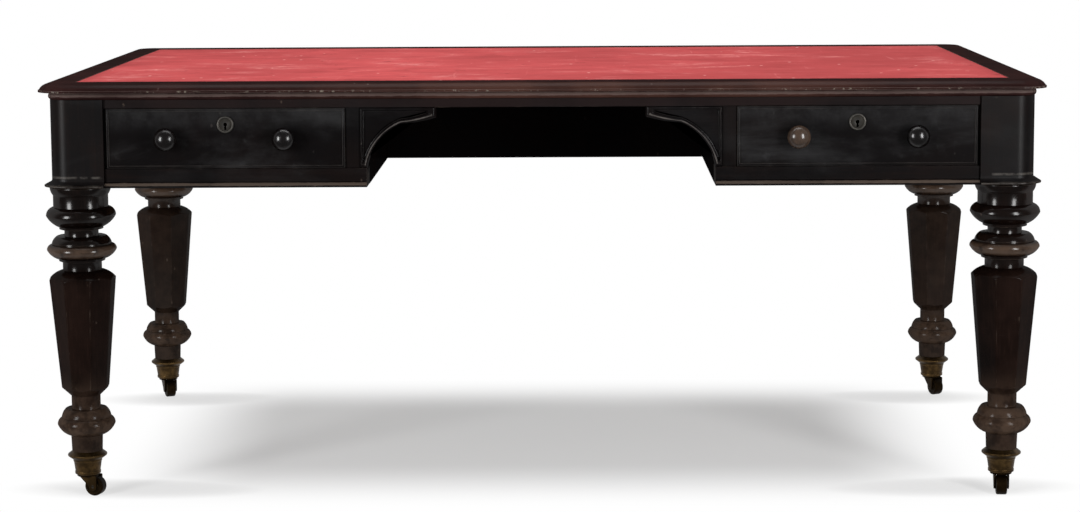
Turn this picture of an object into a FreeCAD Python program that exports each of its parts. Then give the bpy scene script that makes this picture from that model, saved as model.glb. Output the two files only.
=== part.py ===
"""Partners' writing table: leather-lined top, four frieze drawers, turned legs on brass cup casters.

The frame has +X to the right, +Y to the back and +Z up, in millimetres, with the origin on the floor under the
middle of the top. The table is alike in its four quarters, so most pieces are made once, in the front right
quarter, and mirrored to the others.
"""

import FreeCAD, Part
import collections
import os
import re
import Sketcher

# Driving sizes, each written once. Diameters and widths are whole, not halves.
SIZES = {
    # Table as a whole
    "table_length": 1830,
    "table_depth": 1070,
    "table_height": 770,
    # Top: border with a moulded edge around a board lined with leather
    "top_thickness": 30,
    "top_overhang": 20,
    "top_corner_radius": 48,
    "border_width": 65,
    "leather_thickness": 1.5,
    "edge_bead_height": 14,
    "edge_bead_setback": 18,
    "edge_nose_height": 4,
    "edge_quirk": 1.5,
    "edge_ovolo_width": 20,
    # Frieze
    "frieze_height": 156,
    "rail_setback": 5,
    "rail_depth": 60,
    "top_rail_height": 16,
    "bottom_rail_height": 30,
    "rail_drop": 5,
    "frieze_bead_height": 11,
    "frieze_bead_projection": 5.5,
    "end_rail_thickness": 22,
    "tenon_length": 35,
    "tenon_shoulder": 15,
    "top_tenon_thickness": 8,
    "bottom_tenon_thickness": 14,
    "end_tenon_thickness": 10,
    "joint_clearance": 0.1,
    # Kneehole
    "kneehole_width": 632,
    "stile_width": 38.5,
    "stile_recess": 3,
    "leg_strip_width": 4.5,
    "leg_strip_recess": 6,
    "divider_thickness": 20,
    "partition_thickness": 18,
    # Spandrel brackets: a concave arch, a cusp and a shallow lobe to the tip
    "bracket_thickness": 25,
    "bracket_reach": 126,
    "bracket_foot": 12,
    "bracket_arch_radius": 104,
    "bracket_arch_drop": 16,
    "bracket_lobe_width": 64,
    "bracket_lobe_rise": 90,
    "bracket_tip_height": 19,
    "bracket_bead_width": 8,
    "bracket_panel_margin": 2,
    "bracket_panel_foot": 10,
    "bracket_panel_sink": 4,
    "bracket_bead_rounding": 2.5,
    # Drawers
    "drawer_gap": 0.8,
    "slide_clearance": 0.3,
    "drawer_recess": 1,
    "drawer_back_space": 29,
    "drawer_front_thickness": 20,
    "drawer_side_thickness": 10,
    "drawer_side_height": 92,
    "drawer_back_drop": 8,
    "drawer_bottom_thickness": 6,
    "drawer_bottom_lift": 7,
    "groove_depth": 5,
    "dovetail_length": 12,
    "dovetail_root": 20,
    "dovetail_end": 28,
    "cock_bead_width": 5,
    "cock_bead_projection": 2.5,
    "cock_bead_rounding": 2,
    "runner_bearing": 20,
    "runner_thickness": 18,
    "guide_height": 20,
    "stop_length": 40,
    "stop_width": 20,
    "stop_height": 5,
    "stop_inset": 64,
    # Drawer fittings
    "knob_diameter": 42,
    "knob_projection": 38,
    "knob_spacing": 214,
    "knob_base_diameter": 26,
    "knob_base_height": 4,
    "knob_neck_diameter": 18,
    "knob_neck_height": 9,
    "knob_widest_height": 24,
    "knob_spigot_diameter": 14,
    "escutcheon_diameter": 31,
    "escutcheon_thickness": 3,
    "escutcheon_rim": 4,
    "keyhole_drop": 29,
    "keyhole_diameter": 7,
    "keyhole_slot_width": 4,
    "keyhole_slot_length": 10,
    "lock_width": 56,
    "lock_height": 42,
    "lock_depth": 9,
    "lock_plate_width": 72,
    "lock_plate_thickness": 2,
    # Leg: square block with one rounded corner and a collar, from the top down
    "leg_block": 101,
    "leg_axis_inset": 48,
    "block_corner_radius": 35,
    "collar_projection": 14,
    "collar_lip": 3,
    "collar_hollow": 11,
    "drum_reveal": 3,
    "drum_height": 15,
    "drum_diameter": 111,
    "upper_neck_height": 22,
    "upper_neck_diameter": 100,
    "ring_diameter": 127,
    "ring_bow": 2.3,
    "upper_ring_height": 36,
    "upper_crest_drop": 16,
    "upper_ring_foot_diameter": 86,
    "upper_fillet_height": 5,
    "upper_fillet_diameter": 80,
    "waist_height": 13,
    "waist_diameter": 62,
    "ovolo_top_diameter": 90,
    "ovolo_diameter": 109,
    "ovolo_height": 13,
    "ovolo_bow": 1.5,
    "quirk_diameter": 106,
    "quirk_height": 2,
    "lower_ring_height": 26,
    "lower_crest_drop": 10,
    "lower_ring_foot_diameter": 92,
    "lower_fillet_height": 5,
    "lower_fillet_diameter": 84,
    "lower_neck_height": 17,
    "lower_neck_diameter": 71,
    "shoulder_height": 17,
    "shoulder_bow": 3,
    "shaft_top_flats": 114.5,
    "shaft_bottom_flats": 82,
    # Leg foot, from the caster up
    "ankle_height": 29.5,
    "ankle_diameter": 56,
    "bulb_height": 34.5,
    "bulb_crest_drop": 13,
    "bulb_bow": 4,
    "bulb_diameter": 106,
    "bulb_top_diameter": 88,
    "bulb_edge_diameter": 58,
    "bulb_cap_height": 16,
    "bulb_cap_bow": 1.5,
    "bulb_cap_diameter": 91,
    "bulb_cap_top_diameter": 75,
    "foot_neck_height": 24,
    "foot_neck_diameter": 53,
    # Casters
    "wheel_diameter": 36,
    "wheel_width": 20,
    "wheel_rounding": 3,
    "wheel_gap": 0.5,
    "axle_diameter": 6,
    "caster_trail": 15,
    "fork_cheek": 3.7,
    "fork_eye_diameter": 15,
    "fork_throat": 11,
    "fork_disc_diameter": 40,
    "fork_disc_thickness": 3.7,
    "swivel_gap": 0.3,
    "running_clearance": 0.05,
    "fixed_clearance": 0.02,
    "pivot_diameter": 10,
    "pivot_head_diameter": 18,
    "pivot_head_height": 4,
    "cup_height": 28.5,
    "cup_top_diameter": 53,
    "cup_bottom_diameter": 48,
    "cup_base_thickness": 8,
    "cup_socket_diameter": 43,
    "flange_height": 16,
    "flange_rim_height": 3,
    "flange_diameter": 72,
    "flange_edge_diameter": 55,
    # Way each caster trails at rest, in degrees about the vertical from +X
    "front_left_yaw": -15,
    "front_right_yaw": -95,
    "back_left_yaw": -68,
    "back_right_yaw": -65,
}

# Places worked out from the sizes. Distances to the front are given as positive depths.
PLACES = {
    "frame_length": "table_length - 2 * top_overhang",
    "frame_depth": "table_depth - 2 * top_overhang",
    "top_underside": "table_height - top_thickness",
    "frieze_bottom": "top_underside - frieze_height",
    "rail_foot": "frieze_bottom - rail_drop",
    "block_inner": "leg_block - leg_axis_inset",
    "block_inside_x": "frame_length / 2 - leg_block",
    "block_inside_y": "frame_depth / 2 - leg_block",
    "leg_x": "frame_length / 2 - leg_axis_inset",
    "leg_y": "frame_depth / 2 - leg_axis_inset",
    "rail_face": "frame_depth / 2 - rail_setback",
    "rail_back": "rail_face - rail_depth",
    "bottom_rail_top": "frieze_bottom + bottom_rail_height",
    "top_rail_bottom": "top_underside - top_rail_height",
    "end_rail_face": "frame_length / 2 - rail_setback",
    "end_rail_middle": "end_rail_face - end_rail_thickness / 2",
    "end_rail_back": "end_rail_face - end_rail_thickness",
    "rail_tenon_front": "rail_face - tenon_shoulder",
    "rail_tenon_back": "rail_back + tenon_shoulder",
    "top_tenon_low": "top_rail_bottom + (top_rail_height - top_tenon_thickness) / 2",
    "top_tenon_high": "top_tenon_low + top_tenon_thickness",
    "bottom_tenon_low": "frieze_bottom + (bottom_rail_height - bottom_tenon_thickness) / 2",
    "bottom_tenon_high": "bottom_tenon_low + bottom_tenon_thickness",
    "end_tenon_low": "frieze_bottom + tenon_shoulder",
    "end_tenon_high": "top_underside - tenon_shoulder",
    # Kneehole and drawer openings
    "kneehole_edge": "kneehole_width / 2",
    "bracket_side": "kneehole_edge + bracket_foot",
    "bracket_tip": "kneehole_edge - bracket_reach",
    "bracket_back": "rail_face - bracket_thickness",
    "arch_z": "bottom_rail_top - bracket_arch_drop",
    "arch_x": "kneehole_edge - sqrt(bracket_arch_radius ^ 2 - bracket_arch_drop ^ 2)",
    "cusp_x": "bracket_tip + bracket_lobe_width",
    "cusp_z": "arch_z + sqrt(bracket_arch_radius ^ 2 - (cusp_x - arch_x) ^ 2)",
    "panel_radius": "bracket_arch_radius + bracket_bead_width",
    "panel_side": "bracket_side - bracket_panel_margin",
    "panel_top": "top_rail_bottom - bracket_panel_margin",
    "panel_foot_z": "bottom_rail_top + bracket_panel_foot",
    "panel_foot_x": "arch_x + sqrt(panel_radius ^ 2 - (panel_foot_z - arch_z) ^ 2)",
    "panel_cusp_z": "arch_z + sqrt(panel_radius ^ 2 - (cusp_x - arch_x) ^ 2)",
    "panel_tip": "bracket_tip + bracket_bead_width",
    "panel_tip_z": "top_rail_bottom - bracket_tip_height + bracket_bead_width",
    "opening_inner": "kneehole_edge + stile_width",
    "opening_outer": "block_inside_x - leg_strip_width",
    "opening_middle": "(opening_inner + opening_outer) / 2",
    "partition_back": "kneehole_edge + partition_thickness",
    "divider_face": "divider_thickness / 2",
    # Drawer, measured from its own middle across the opening
    "drawer_half": "(opening_outer - opening_inner) / 2 - drawer_gap",
    "drawer_inside": "drawer_half - drawer_side_thickness",
    "drawer_groove": "drawer_inside + groove_depth",
    "drawer_face": "rail_face - drawer_recess",
    "drawer_front_back": "drawer_face - drawer_front_thickness",
    "drawer_end": "divider_face + drawer_back_space",
    "drawer_low": "bottom_rail_top + drawer_gap",
    "drawer_high": "top_rail_bottom - drawer_gap",
    "side_low": "bottom_rail_top + slide_clearance",
    "side_high": "side_low + drawer_side_height",
    "panel_low": "side_low + drawer_bottom_lift",
    "panel_high": "panel_low + drawer_bottom_thickness",
    "dovetail_tip": "drawer_front_back + dovetail_length",
    "lower_dovetail": "side_low + drawer_side_height / 4",
    "upper_dovetail": "side_low + 3 * drawer_side_height / 4",
    "knob_z": "(drawer_low + drawer_high) / 2",
    "keyhole_z": "drawer_high - keyhole_drop",
    "lock_low": "drawer_high - lock_height",
    # Leg turning, heights above the floor
    "turning_top": "frieze_bottom - collar_lip",
    "drum_top": "turning_top - drum_reveal",
    "drum_foot": "drum_top - drum_height",
    "upper_ring_top": "drum_foot - upper_neck_height",
    "upper_ring_crest": "upper_ring_top - upper_crest_drop",
    "upper_ring_foot": "upper_ring_top - upper_ring_height",
    "waist_top": "upper_ring_foot - upper_fillet_height",
    "ovolo_top": "waist_top - waist_height",
    "ovolo_foot": "ovolo_top - ovolo_height",
    "lower_ring_top": "ovolo_foot - quirk_height",
    "lower_ring_crest": "lower_ring_top - lower_crest_drop",
    "lower_ring_foot": "lower_ring_top - lower_ring_height",
    "lower_neck_top": "lower_ring_foot - lower_fillet_height",
    "shoulder_top": "lower_neck_top - lower_neck_height",
    "shaft_top": "shoulder_top - shoulder_height",
    "shaft_bottom": "foot_neck_top + shoulder_height",
    "foot_neck_top": "bulb_cap_top + foot_neck_height",
    "bulb_cap_top": "bulb_top + bulb_cap_height",
    "bulb_top": "ankle_top + bulb_height",
    "bulb_crest": "bulb_top - bulb_crest_drop",
    "ankle_top": "cup_top + ankle_height",
    "shaft_taper": "(shaft_top_flats - shaft_bottom_flats) / 2 / (shaft_top - shaft_bottom)",
    # Caster, heights above the floor
    "wheel_radius": "wheel_diameter / 2",
    "fork_inside": "wheel_diameter + wheel_gap",
    "fork_top": "fork_inside + fork_disc_thickness",
    "cup_base": "fork_top + swivel_gap",
    "cup_rim": "cup_base + cup_height",
    "cup_top": "cup_rim + flange_height",
    "flange_low": "cup_rim + (flange_height - flange_rim_height) / 2",
    "flange_high": "flange_low + flange_rim_height",
    "cup_floor": "cup_base + cup_base_thickness",
    "pivot_head_low": "cup_floor + swivel_gap",
    "pivot_head_high": "pivot_head_low + pivot_head_height",
    "spigot_low": "pivot_head_high + swivel_gap",
    "fork_slot": "wheel_width + 2 * swivel_gap",
    "fork_width": "fork_slot + 2 * fork_cheek",
}

CORNERS = {"front_left": (-1, -1), "front_right": (1, -1), "back_left": (-1, 1), "back_right": (1, 1)}

Line = collections.namedtuple("Line", "x y")
Arc = collections.namedtuple("Arc", "x y centre_x centre_y ccw")

doc = FreeCAD.newDocument("writing_table")
nodes = []


def fill_sheet():
    """Put every driving size into a cell of its own, with its name as the alias."""
    cells = doc.addObject("Spreadsheet::Sheet", "Sizes")
    for row, (name, value) in enumerate(SIZES.items(), start=1):
        cells.set(f"A{row}", str(value))
        cells.setAlias(f"A{row}", name)
    doc.recompute()
    return cells


sheet = fill_sheet()


def formula(text):
    """Spell out a formula in the sheet's cells, opening each named place into its own formula."""

    def cell(match):
        word = match.group()
        if word in PLACES:
            return "(" + formula(PLACES[word]) + ")"
        return "Sizes." + word if word in SIZES else word

    return re.sub(r"[a-z_]+", cell, text)


def number(text):
    """The value that a formula has now."""
    return float(sheet.evalExpression(formula(text)))


def bind(thing, **sizes):
    """Bind properties to formulas; a double underscore in a keyword stands for a dot."""
    for name, text in sizes.items():
        thing.setExpression(name.replace("__", "."), formula(text))


def place(thing, x="0", y="0", z="0"):
    bind(thing, Placement__Base__x=x, Placement__Base__y=y, Placement__Base__z=z)


def keep(thing):
    """Hand a finished piece in under its own label."""
    nodes.append(thing)
    return thing


def new_body(label):
    return doc.addObject("PartDesign::Body", label)


def origin_feature(body, role):
    return next(feature for feature in body.Origin.OriginFeatures if feature.Role == role)


def new_sketch(body, plane, offset="0"):
    """A sketch on one of the body's own planes, moved along that plane's normal."""
    sketch = body.newObject("Sketcher::SketchObject", body.Name + "_sketch")
    sketch.AttachmentSupport = [(origin_feature(body, plane), "")]
    sketch.MapMode = "FlatFace"
    bind(sketch, AttachmentOffset__Base__z=offset)
    return sketch


def to(x, y):
    return Line(x, y)


def round_to(x, y, centre_x=None, centre_y=None, ccw=True):
    """An arc to a point, given by one coordinate of its centre."""
    return Arc(x, y, centre_x, centre_y, ccw)


def arc_geometry(start, corner):
    """The arc from a start point to a corner, its centre on the line midway between them."""
    end = FreeCAD.Vector(number(corner.x), number(corner.y), 0)
    middle = (start + end) / 2
    span = end - start
    if corner.centre_y is None:
        x = number(corner.centre_x)
        y = middle.y - (x - middle.x) * span.x / span.y
    else:
        y = number(corner.centre_y)
        x = middle.x - (y - middle.y) * span.y / span.x
    centre = FreeCAD.Vector(x, y, 0)
    first, last = (start, end) if corner.ccw else (end, start)
    axis = FreeCAD.Vector(1, 0, 0)
    turn = [axis.getAngle(p - centre) * (1 if p.y >= centre.y else -1) for p in (first, last)]
    circle = Part.Circle(centre, FreeCAD.Vector(0, 0, 1), (start - centre).Length)
    return Part.ArcOfCircle(circle, turn[0], turn[1])


def outline(sketch, corners):
    """Draw a closed outline, each corner saying how it is reached, and bind every corner to its formula."""
    ends = [FreeCAD.Vector(number(corner.x), number(corner.y), 0) for corner in corners]
    base = sketch.GeometryCount
    shapes = []
    for index, corner in enumerate(corners):
        start = ends[index - 1]
        straight = isinstance(corner, Line)
        shapes.append(Part.LineSegment(start, ends[index]) if straight else arc_geometry(start, corner))
    sketch.addGeometry(shapes, False)
    reversed_arcs = [isinstance(corner, Arc) and not corner.ccw for corner in corners]
    rules = []
    for index, corner in enumerate(corners):
        after = (index + 1) % len(corners)
        end = 1 if reversed_arcs[index] else 2
        start = 2 if reversed_arcs[after] else 1
        rules.append(("Coincident", None, (base + index, end, base + after, start)))
        rules.append(("DistanceX", corner.x, (-1, 1, base + index, end)))
        rules.append(("DistanceY", corner.y, (-1, 1, base + index, end)))
        if isinstance(corner, Arc) and corner.centre_y is None:
            rules.append(("DistanceX", corner.centre_x, (-1, 1, base + index, 3)))
        elif isinstance(corner, Arc):
            rules.append(("DistanceY", corner.centre_y, (-1, 1, base + index, 3)))
    add_rules(sketch, rules)


def add_rules(sketch, rules):
    """Add constraints, binding each one that has a formula."""
    count = sketch.ConstraintCount
    made = []
    for kind, text, where in rules:
        made.append(Sketcher.Constraint(kind, *where, *([] if text is None else [number(text)])))
    sketch.addConstraint(made)
    for index, (kind, text, where) in enumerate(rules, start=count):
        if text is not None:
            sketch.setExpression(f"Constraints[{index}]", formula(text))


def rectangle(sketch, left, low, right, high):
    outline(sketch, [to(left, low), to(right, low), to(right, high), to(left, high)])


def circle(sketch, x, y, diameter):
    middle = FreeCAD.Vector(number(x), number(y), 0)
    where = sketch.GeometryCount
    sketch.addGeometry(Part.Circle(middle, FreeCAD.Vector(0, 0, 1), number(diameter) / 2), False)
    centre = (-1, 1, where, 3)
    add_rules(sketch, [("DistanceX", x, centre), ("DistanceY", y, centre), ("Diameter", diameter, (where,))])


def extrude(body, kind, sketch, length, side="One side", reverse=False):
    """A Pad or a Pocket of a sketch."""
    feature = body.newObject("PartDesign::" + kind, body.Name + "_" + kind.lower())
    feature.Profile = sketch
    feature.SideType = side
    feature.Reversed = reverse
    bind(feature, Length=length)
    return feature


def pad(body, sketch, length, **options):
    return extrude(body, "Pad", sketch, length, **options)


def pocket(body, sketch, length, **options):
    return extrude(body, "Pocket", sketch, length, **options)


def revolve(body, sketch):
    """Turn a profile of radius and height about the body's vertical axis."""
    feature = body.newObject("PartDesign::Revolution", body.Name + "_turning")
    feature.Profile = sketch
    feature.ReferenceAxis = (sketch, ["V_Axis"])
    feature.Angle = 360
    return feature


def turned(label, profile):
    """A body turned from one profile of radius and height."""
    body = new_body(label)
    sketch = new_sketch(body, "XZ_Plane")
    outline(sketch, profile)
    revolve(body, sketch)
    return body


def edge_names(feature, wanted):
    """Names of the edges of a feature whose middle and ends all pass a test."""
    names = []
    for index, edge in enumerate(feature.Shape.Edges, start=1):
        points = [vertex.Point for vertex in edge.Vertexes] + [edge.CenterOfMass]
        if all(wanted(point) for point in points):
            names.append(f"Edge{index}")
    return names


def fillet(body, feature, names, radius):
    rounding = body.newObject("PartDesign::Fillet", body.Name + "_fillet")
    rounding.Base = (feature, names)
    bind(rounding, Radius=radius)
    return rounding


def near(value, text):
    return abs(value - number(text)) < 1e-4


def board(label, left, front, low, length, width, height):
    """A plain rectangular board."""
    piece = doc.addObject("Part::Box", label)
    bind(piece, Length=length, Width=width, Height=height)
    place(piece, left, front, low)
    return piece


def mirrored(source, label, across_x=False, about="0"):
    """The same piece on the other side: across the table's length, or else its depth."""
    twin = doc.addObject("Part::Mirroring", label)
    twin.Source = source
    twin.Normal = FreeCAD.Vector(1, 0, 0) if across_x else FreeCAD.Vector(0, 1, 0)
    if across_x:
        bind(twin, Base__x=about)
    return twin


def quarters(front_right, name):
    """The piece of each quarter of the table, from the front right one."""
    front_left = mirrored(front_right, name.format("front_left"), across_x=True)
    back_right = mirrored(front_right, name.format("back_right"))
    back_left = mirrored(front_left, name.format("back_left"))
    return {"front_right": front_right, "front_left": front_left,
            "back_right": back_right, "back_left": back_left}


def group(label, members):
    """Like pieces that share a node as separate solids."""
    node = doc.addObject("Part::Compound", label)
    node.Links = list(members)
    return keep(node)


def make_top():
    """Board lined with leather inside a mitred border with a moulded edge."""
    inside_length = "table_length - 2 * border_width"
    inside_depth = "table_depth - 2 * border_width"
    left = f"-({inside_length}) / 2"
    front = f"-({inside_depth}) / 2"
    leather_low = "table_height - leather_thickness"
    keep(board("top_board", left, front, "top_underside", inside_length, inside_depth,
               "top_thickness - leather_thickness"))
    keep(board("leather_inset", left, front, leather_low, inside_length, inside_depth, "leather_thickness"))
    ring = make_border_ring()
    front_length = mitred_length(ring, "front_border", "XY_Plane", lengthwise=True)
    right_length = mitred_length(ring, "right_border", "XY_Plane", lengthwise=False)
    group("top_border", [
        front_length,
        mirrored(front_length, "back_border"),
        right_length,
        mirrored(right_length, "left_border", across_x=True),
    ])


def make_border_ring():
    """The whole border in one: a flat ring whose edge moulding is swept around its rounded outline."""
    body = new_body("border_ring")
    flat = new_sketch(body, "XY_Plane", "top_underside")
    half_length, half_depth = "table_length / 2", "table_depth / 2"
    outline(flat, rounded_outline(half_length, half_depth))
    rectangle(flat, f"-({half_length} - border_width)", f"-({half_depth} - border_width)",
              f"{half_length} - border_width", f"{half_depth} - border_width")
    pad(body, flat, "top_thickness")
    path = new_sketch(body, "XY_Plane", "top_underside")
    outline(path, rounded_outline(half_length, half_depth, split_front=True))
    face = f"-({half_depth})"
    outside = f"{face} - edge_quirk"
    bead_middle = f"{face} + edge_bead_setback + edge_bead_height / 2"
    bead_top = "top_underside + edge_bead_height"
    run_moulding(body, path, "edge_bead", [
        to(outside, "top_underside - edge_quirk"),
        to(bead_middle, "top_underside - edge_quirk"),
        to(bead_middle, "top_underside"),
        round_to(bead_middle, bead_top, centre_x=bead_middle, ccw=False),
        to(outside, bead_top),
    ])
    nose_top = f"{bead_top} + edge_nose_height"
    ovolo_end = f"{face} + edge_quirk + edge_ovolo_width"
    run_moulding(body, path, "edge_ovolo", [
        to(outside, nose_top),
        to(f"{face} + edge_quirk", nose_top),
        round_to(ovolo_end, "table_height", centre_x=ovolo_end, ccw=False),
        to(ovolo_end, "table_height + edge_quirk"),
        to(outside, "table_height + edge_quirk"),
    ])
    return body


def run_moulding(body, path, label, section):
    """Cut a moulding's section away all along a path."""
    sketch = new_sketch(body, "YZ_Plane")
    outline(sketch, section)
    cut = body.newObject("PartDesign::SubtractivePipe", label)
    cut.Profile = sketch
    cut.Spine = (path, [f"Edge{index + 1}" for index in range(path.GeometryCount)])


def rounded_outline(half_length, half_depth, split_front=False):
    """A rectangle with rounded corners about the origin, which may start midway along its front."""
    straight_x, straight_y = f"({half_length} - top_corner_radius)", f"({half_depth} - top_corner_radius)"
    corners = [
        to(f"{straight_x}", f"-({half_depth})"),
        round_to(half_length, f"-{straight_y}", centre_x=straight_x),
        to(half_length, straight_y),
        round_to(straight_x, half_depth, centre_x=straight_x),
        to(f"-{straight_x}", half_depth),
        round_to(f"-({half_length})", straight_y, centre_x=f"-{straight_x}"),
        to(f"-({half_length})", f"-{straight_y}"),
        round_to(f"-{straight_x}", f"-({half_depth})", centre_x=f"-{straight_x}"),
    ]
    return corners + [to("0", f"-({half_depth})")] if split_front else corners


def mitred_length(ring, label, plane, lengthwise):
    """One side of the border, cut from the ring between the mitres at its two corners."""
    wedge = new_body(label + "_mitres")
    sketch = new_sketch(wedge, plane, "top_underside")
    outer_x, outer_y = "table_length / 2", "table_depth / 2"
    inner_x, inner_y = "table_length / 2 - border_width", "table_depth / 2 - border_width"
    if lengthwise:
        outline(sketch, [to(f"-({outer_x})", f"-({outer_y})"), to(outer_x, f"-({outer_y})"),
                         to(inner_x, f"-({inner_y})"), to(f"-({inner_x})", f"-({inner_y})")])
    else:
        outline(sketch, [to(outer_x, f"-({outer_y})"), to(outer_x, outer_y),
                         to(inner_x, inner_y), to(inner_x, f"-({inner_y})")])
    pad(wedge, sketch, "top_thickness")
    side = doc.addObject("Part::Common", label)
    side.Base = ring
    side.Tool = wedge
    return side


def beaded_profile(face, back, low, high):
    """Section of a rail with a bead along the foot of its face; the face looks towards greater values."""
    bead_top = f"{low} + frieze_bead_height"
    corners = [to(back, low), to(face, low)]
    rise = "frieze_bead_projection"
    half = "frieze_bead_height / 2"
    centre = f"{face} + {rise} - (({half}) ^ 2 + {rise} ^ 2) / (2 * {rise})"
    corners.append(round_to(face, bead_top, centre_x=centre))
    return corners + [to(face, high), to(back, high)]


def make_rails():
    """Top rails and end rails between the legs, and bottom rails between the legs and the kneehole."""
    top_rail = new_body("front_top_rail")
    section = new_sketch(top_rail, "YZ_Plane")
    rectangle(section, "-(rail_face)", "top_rail_bottom", "-(rail_back)", "top_underside")
    pad(top_rail, section, "2 * block_inside_x", side="Symmetric")
    tenon = new_sketch(top_rail, "YZ_Plane")
    rectangle(tenon, "-(rail_tenon_front)", "top_tenon_low", "-(rail_tenon_back)", "top_tenon_high")
    pad(top_rail, tenon, "2 * (block_inside_x + tenon_length)", side="Symmetric")
    group("top_rails", [top_rail, mirrored(top_rail, "back_top_rail")])

    bottom_rail = new_body("front_right_bottom_rail")
    section = new_sketch(bottom_rail, "YZ_Plane", "kneehole_edge")
    mirror_y = [flip(corner) for corner in
                beaded_profile("rail_face", "rail_back", "rail_foot", "bottom_rail_top")]
    outline(section, mirror_y)
    pad(bottom_rail, section, "block_inside_x - kneehole_edge")
    tenon = new_sketch(bottom_rail, "YZ_Plane", "kneehole_edge")
    rectangle(tenon, "-(rail_tenon_front)", "bottom_tenon_low", "-(rail_tenon_back)", "bottom_tenon_high")
    pad(bottom_rail, tenon, "block_inside_x - kneehole_edge + tenon_length")
    rails = quarters(bottom_rail, "{}_bottom_rail")
    group("front_bottom_rails", [rails["front_left"], rails["front_right"]])
    group("back_bottom_rails", [rails["back_left"], rails["back_right"]])

    end_rail = new_body("right_end_rail")
    section = new_sketch(end_rail, "XZ_Plane")
    outline(section, beaded_profile("end_rail_face", "end_rail_back", "rail_foot", "top_underside"))
    pad(end_rail, section, "2 * block_inside_y", side="Symmetric")
    tenon = new_sketch(end_rail, "XZ_Plane")
    rectangle(tenon, "end_rail_middle - end_tenon_thickness / 2", "end_tenon_low",
              "end_rail_middle + end_tenon_thickness / 2", "end_tenon_high")
    pad(end_rail, tenon, "2 * (block_inside_y + tenon_length)", side="Symmetric")
    keep(end_rail)
    keep(mirrored(end_rail, "left_end_rail", across_x=True))


def flip(corner):
    """The same corner with its first coordinate turned to the front."""
    if isinstance(corner, Line):
        return to(f"-({corner.x})", corner.y)
    return round_to(f"-({corner.x})", corner.y, centre_x=f"-({corner.centre_x})", ccw=not corner.ccw)


def make_uprights():
    """Stiles beside the kneehole and narrow recessed strips beside the legs."""
    height = "top_rail_bottom - bottom_rail_top"
    stile = board("front_right_stile", "bracket_side", "-(rail_face - stile_recess)", "bottom_rail_top",
                  "opening_inner - bracket_side", "bracket_thickness - stile_recess", height)
    strip = board("front_right_strip", "opening_outer", "-(rail_face - leg_strip_recess)", "bottom_rail_top",
                  "leg_strip_width", "bracket_thickness - leg_strip_recess", height)
    members = list(quarters(stile, "{}_stile").values()) + list(quarters(strip, "{}_strip").values())
    group("drawer_stiles", members)


def make_brackets():
    """Spandrel brackets: a concave arch with a cusp and a lobe, and a sunk panel that follows the arch."""
    body = new_body("front_right_bracket")
    face = new_sketch(body, "XZ_Plane", "rail_face")
    outline(face, [
        to("bracket_side", "bottom_rail_top"),
        to("bracket_side", "top_rail_bottom"),
        to("bracket_tip", "top_rail_bottom"),
        to("bracket_tip", "top_rail_bottom - bracket_tip_height"),
        round_to("cusp_x", "cusp_z", centre_y="top_rail_bottom + bracket_lobe_rise"),
        round_to("kneehole_edge", "bottom_rail_top", centre_x="arch_x", ccw=False),
    ])
    blank = pad(body, face, "bracket_thickness", reverse=True)
    doc.recompute()
    arch_ends = [("bracket_tip", "top_rail_bottom - bracket_tip_height"), ("cusp_x", "cusp_z"),
                 ("kneehole_edge", "bottom_rail_top")]

    def along_arch(point):
        return near(-point.y, "rail_face") and any(near(point.x, x) and near(point.z, z) for x, z in arch_ends)

    arch = [f"Edge{index}" for index, edge in enumerate(blank.Shape.Edges, start=1)
            if all(along_arch(vertex.Point) for vertex in edge.Vertexes)]
    fillet(body, blank, arch, "bracket_bead_rounding")
    sunk = new_sketch(body, "XZ_Plane", "rail_face")
    outline(sunk, [
        round_to("panel_foot_x", "panel_foot_z", centre_x="arch_x", ccw=False),
        to("panel_side", "panel_foot_z"),
        to("panel_side", "panel_top"),
        to("panel_tip", "panel_top"),
        to("panel_tip", "panel_tip_z"),
        to("cusp_x", "panel_cusp_z"),
    ])
    pocket(body, sunk, "bracket_panel_sink")
    group("spandrel_brackets", quarters(body, "{}_bracket").values())


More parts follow.
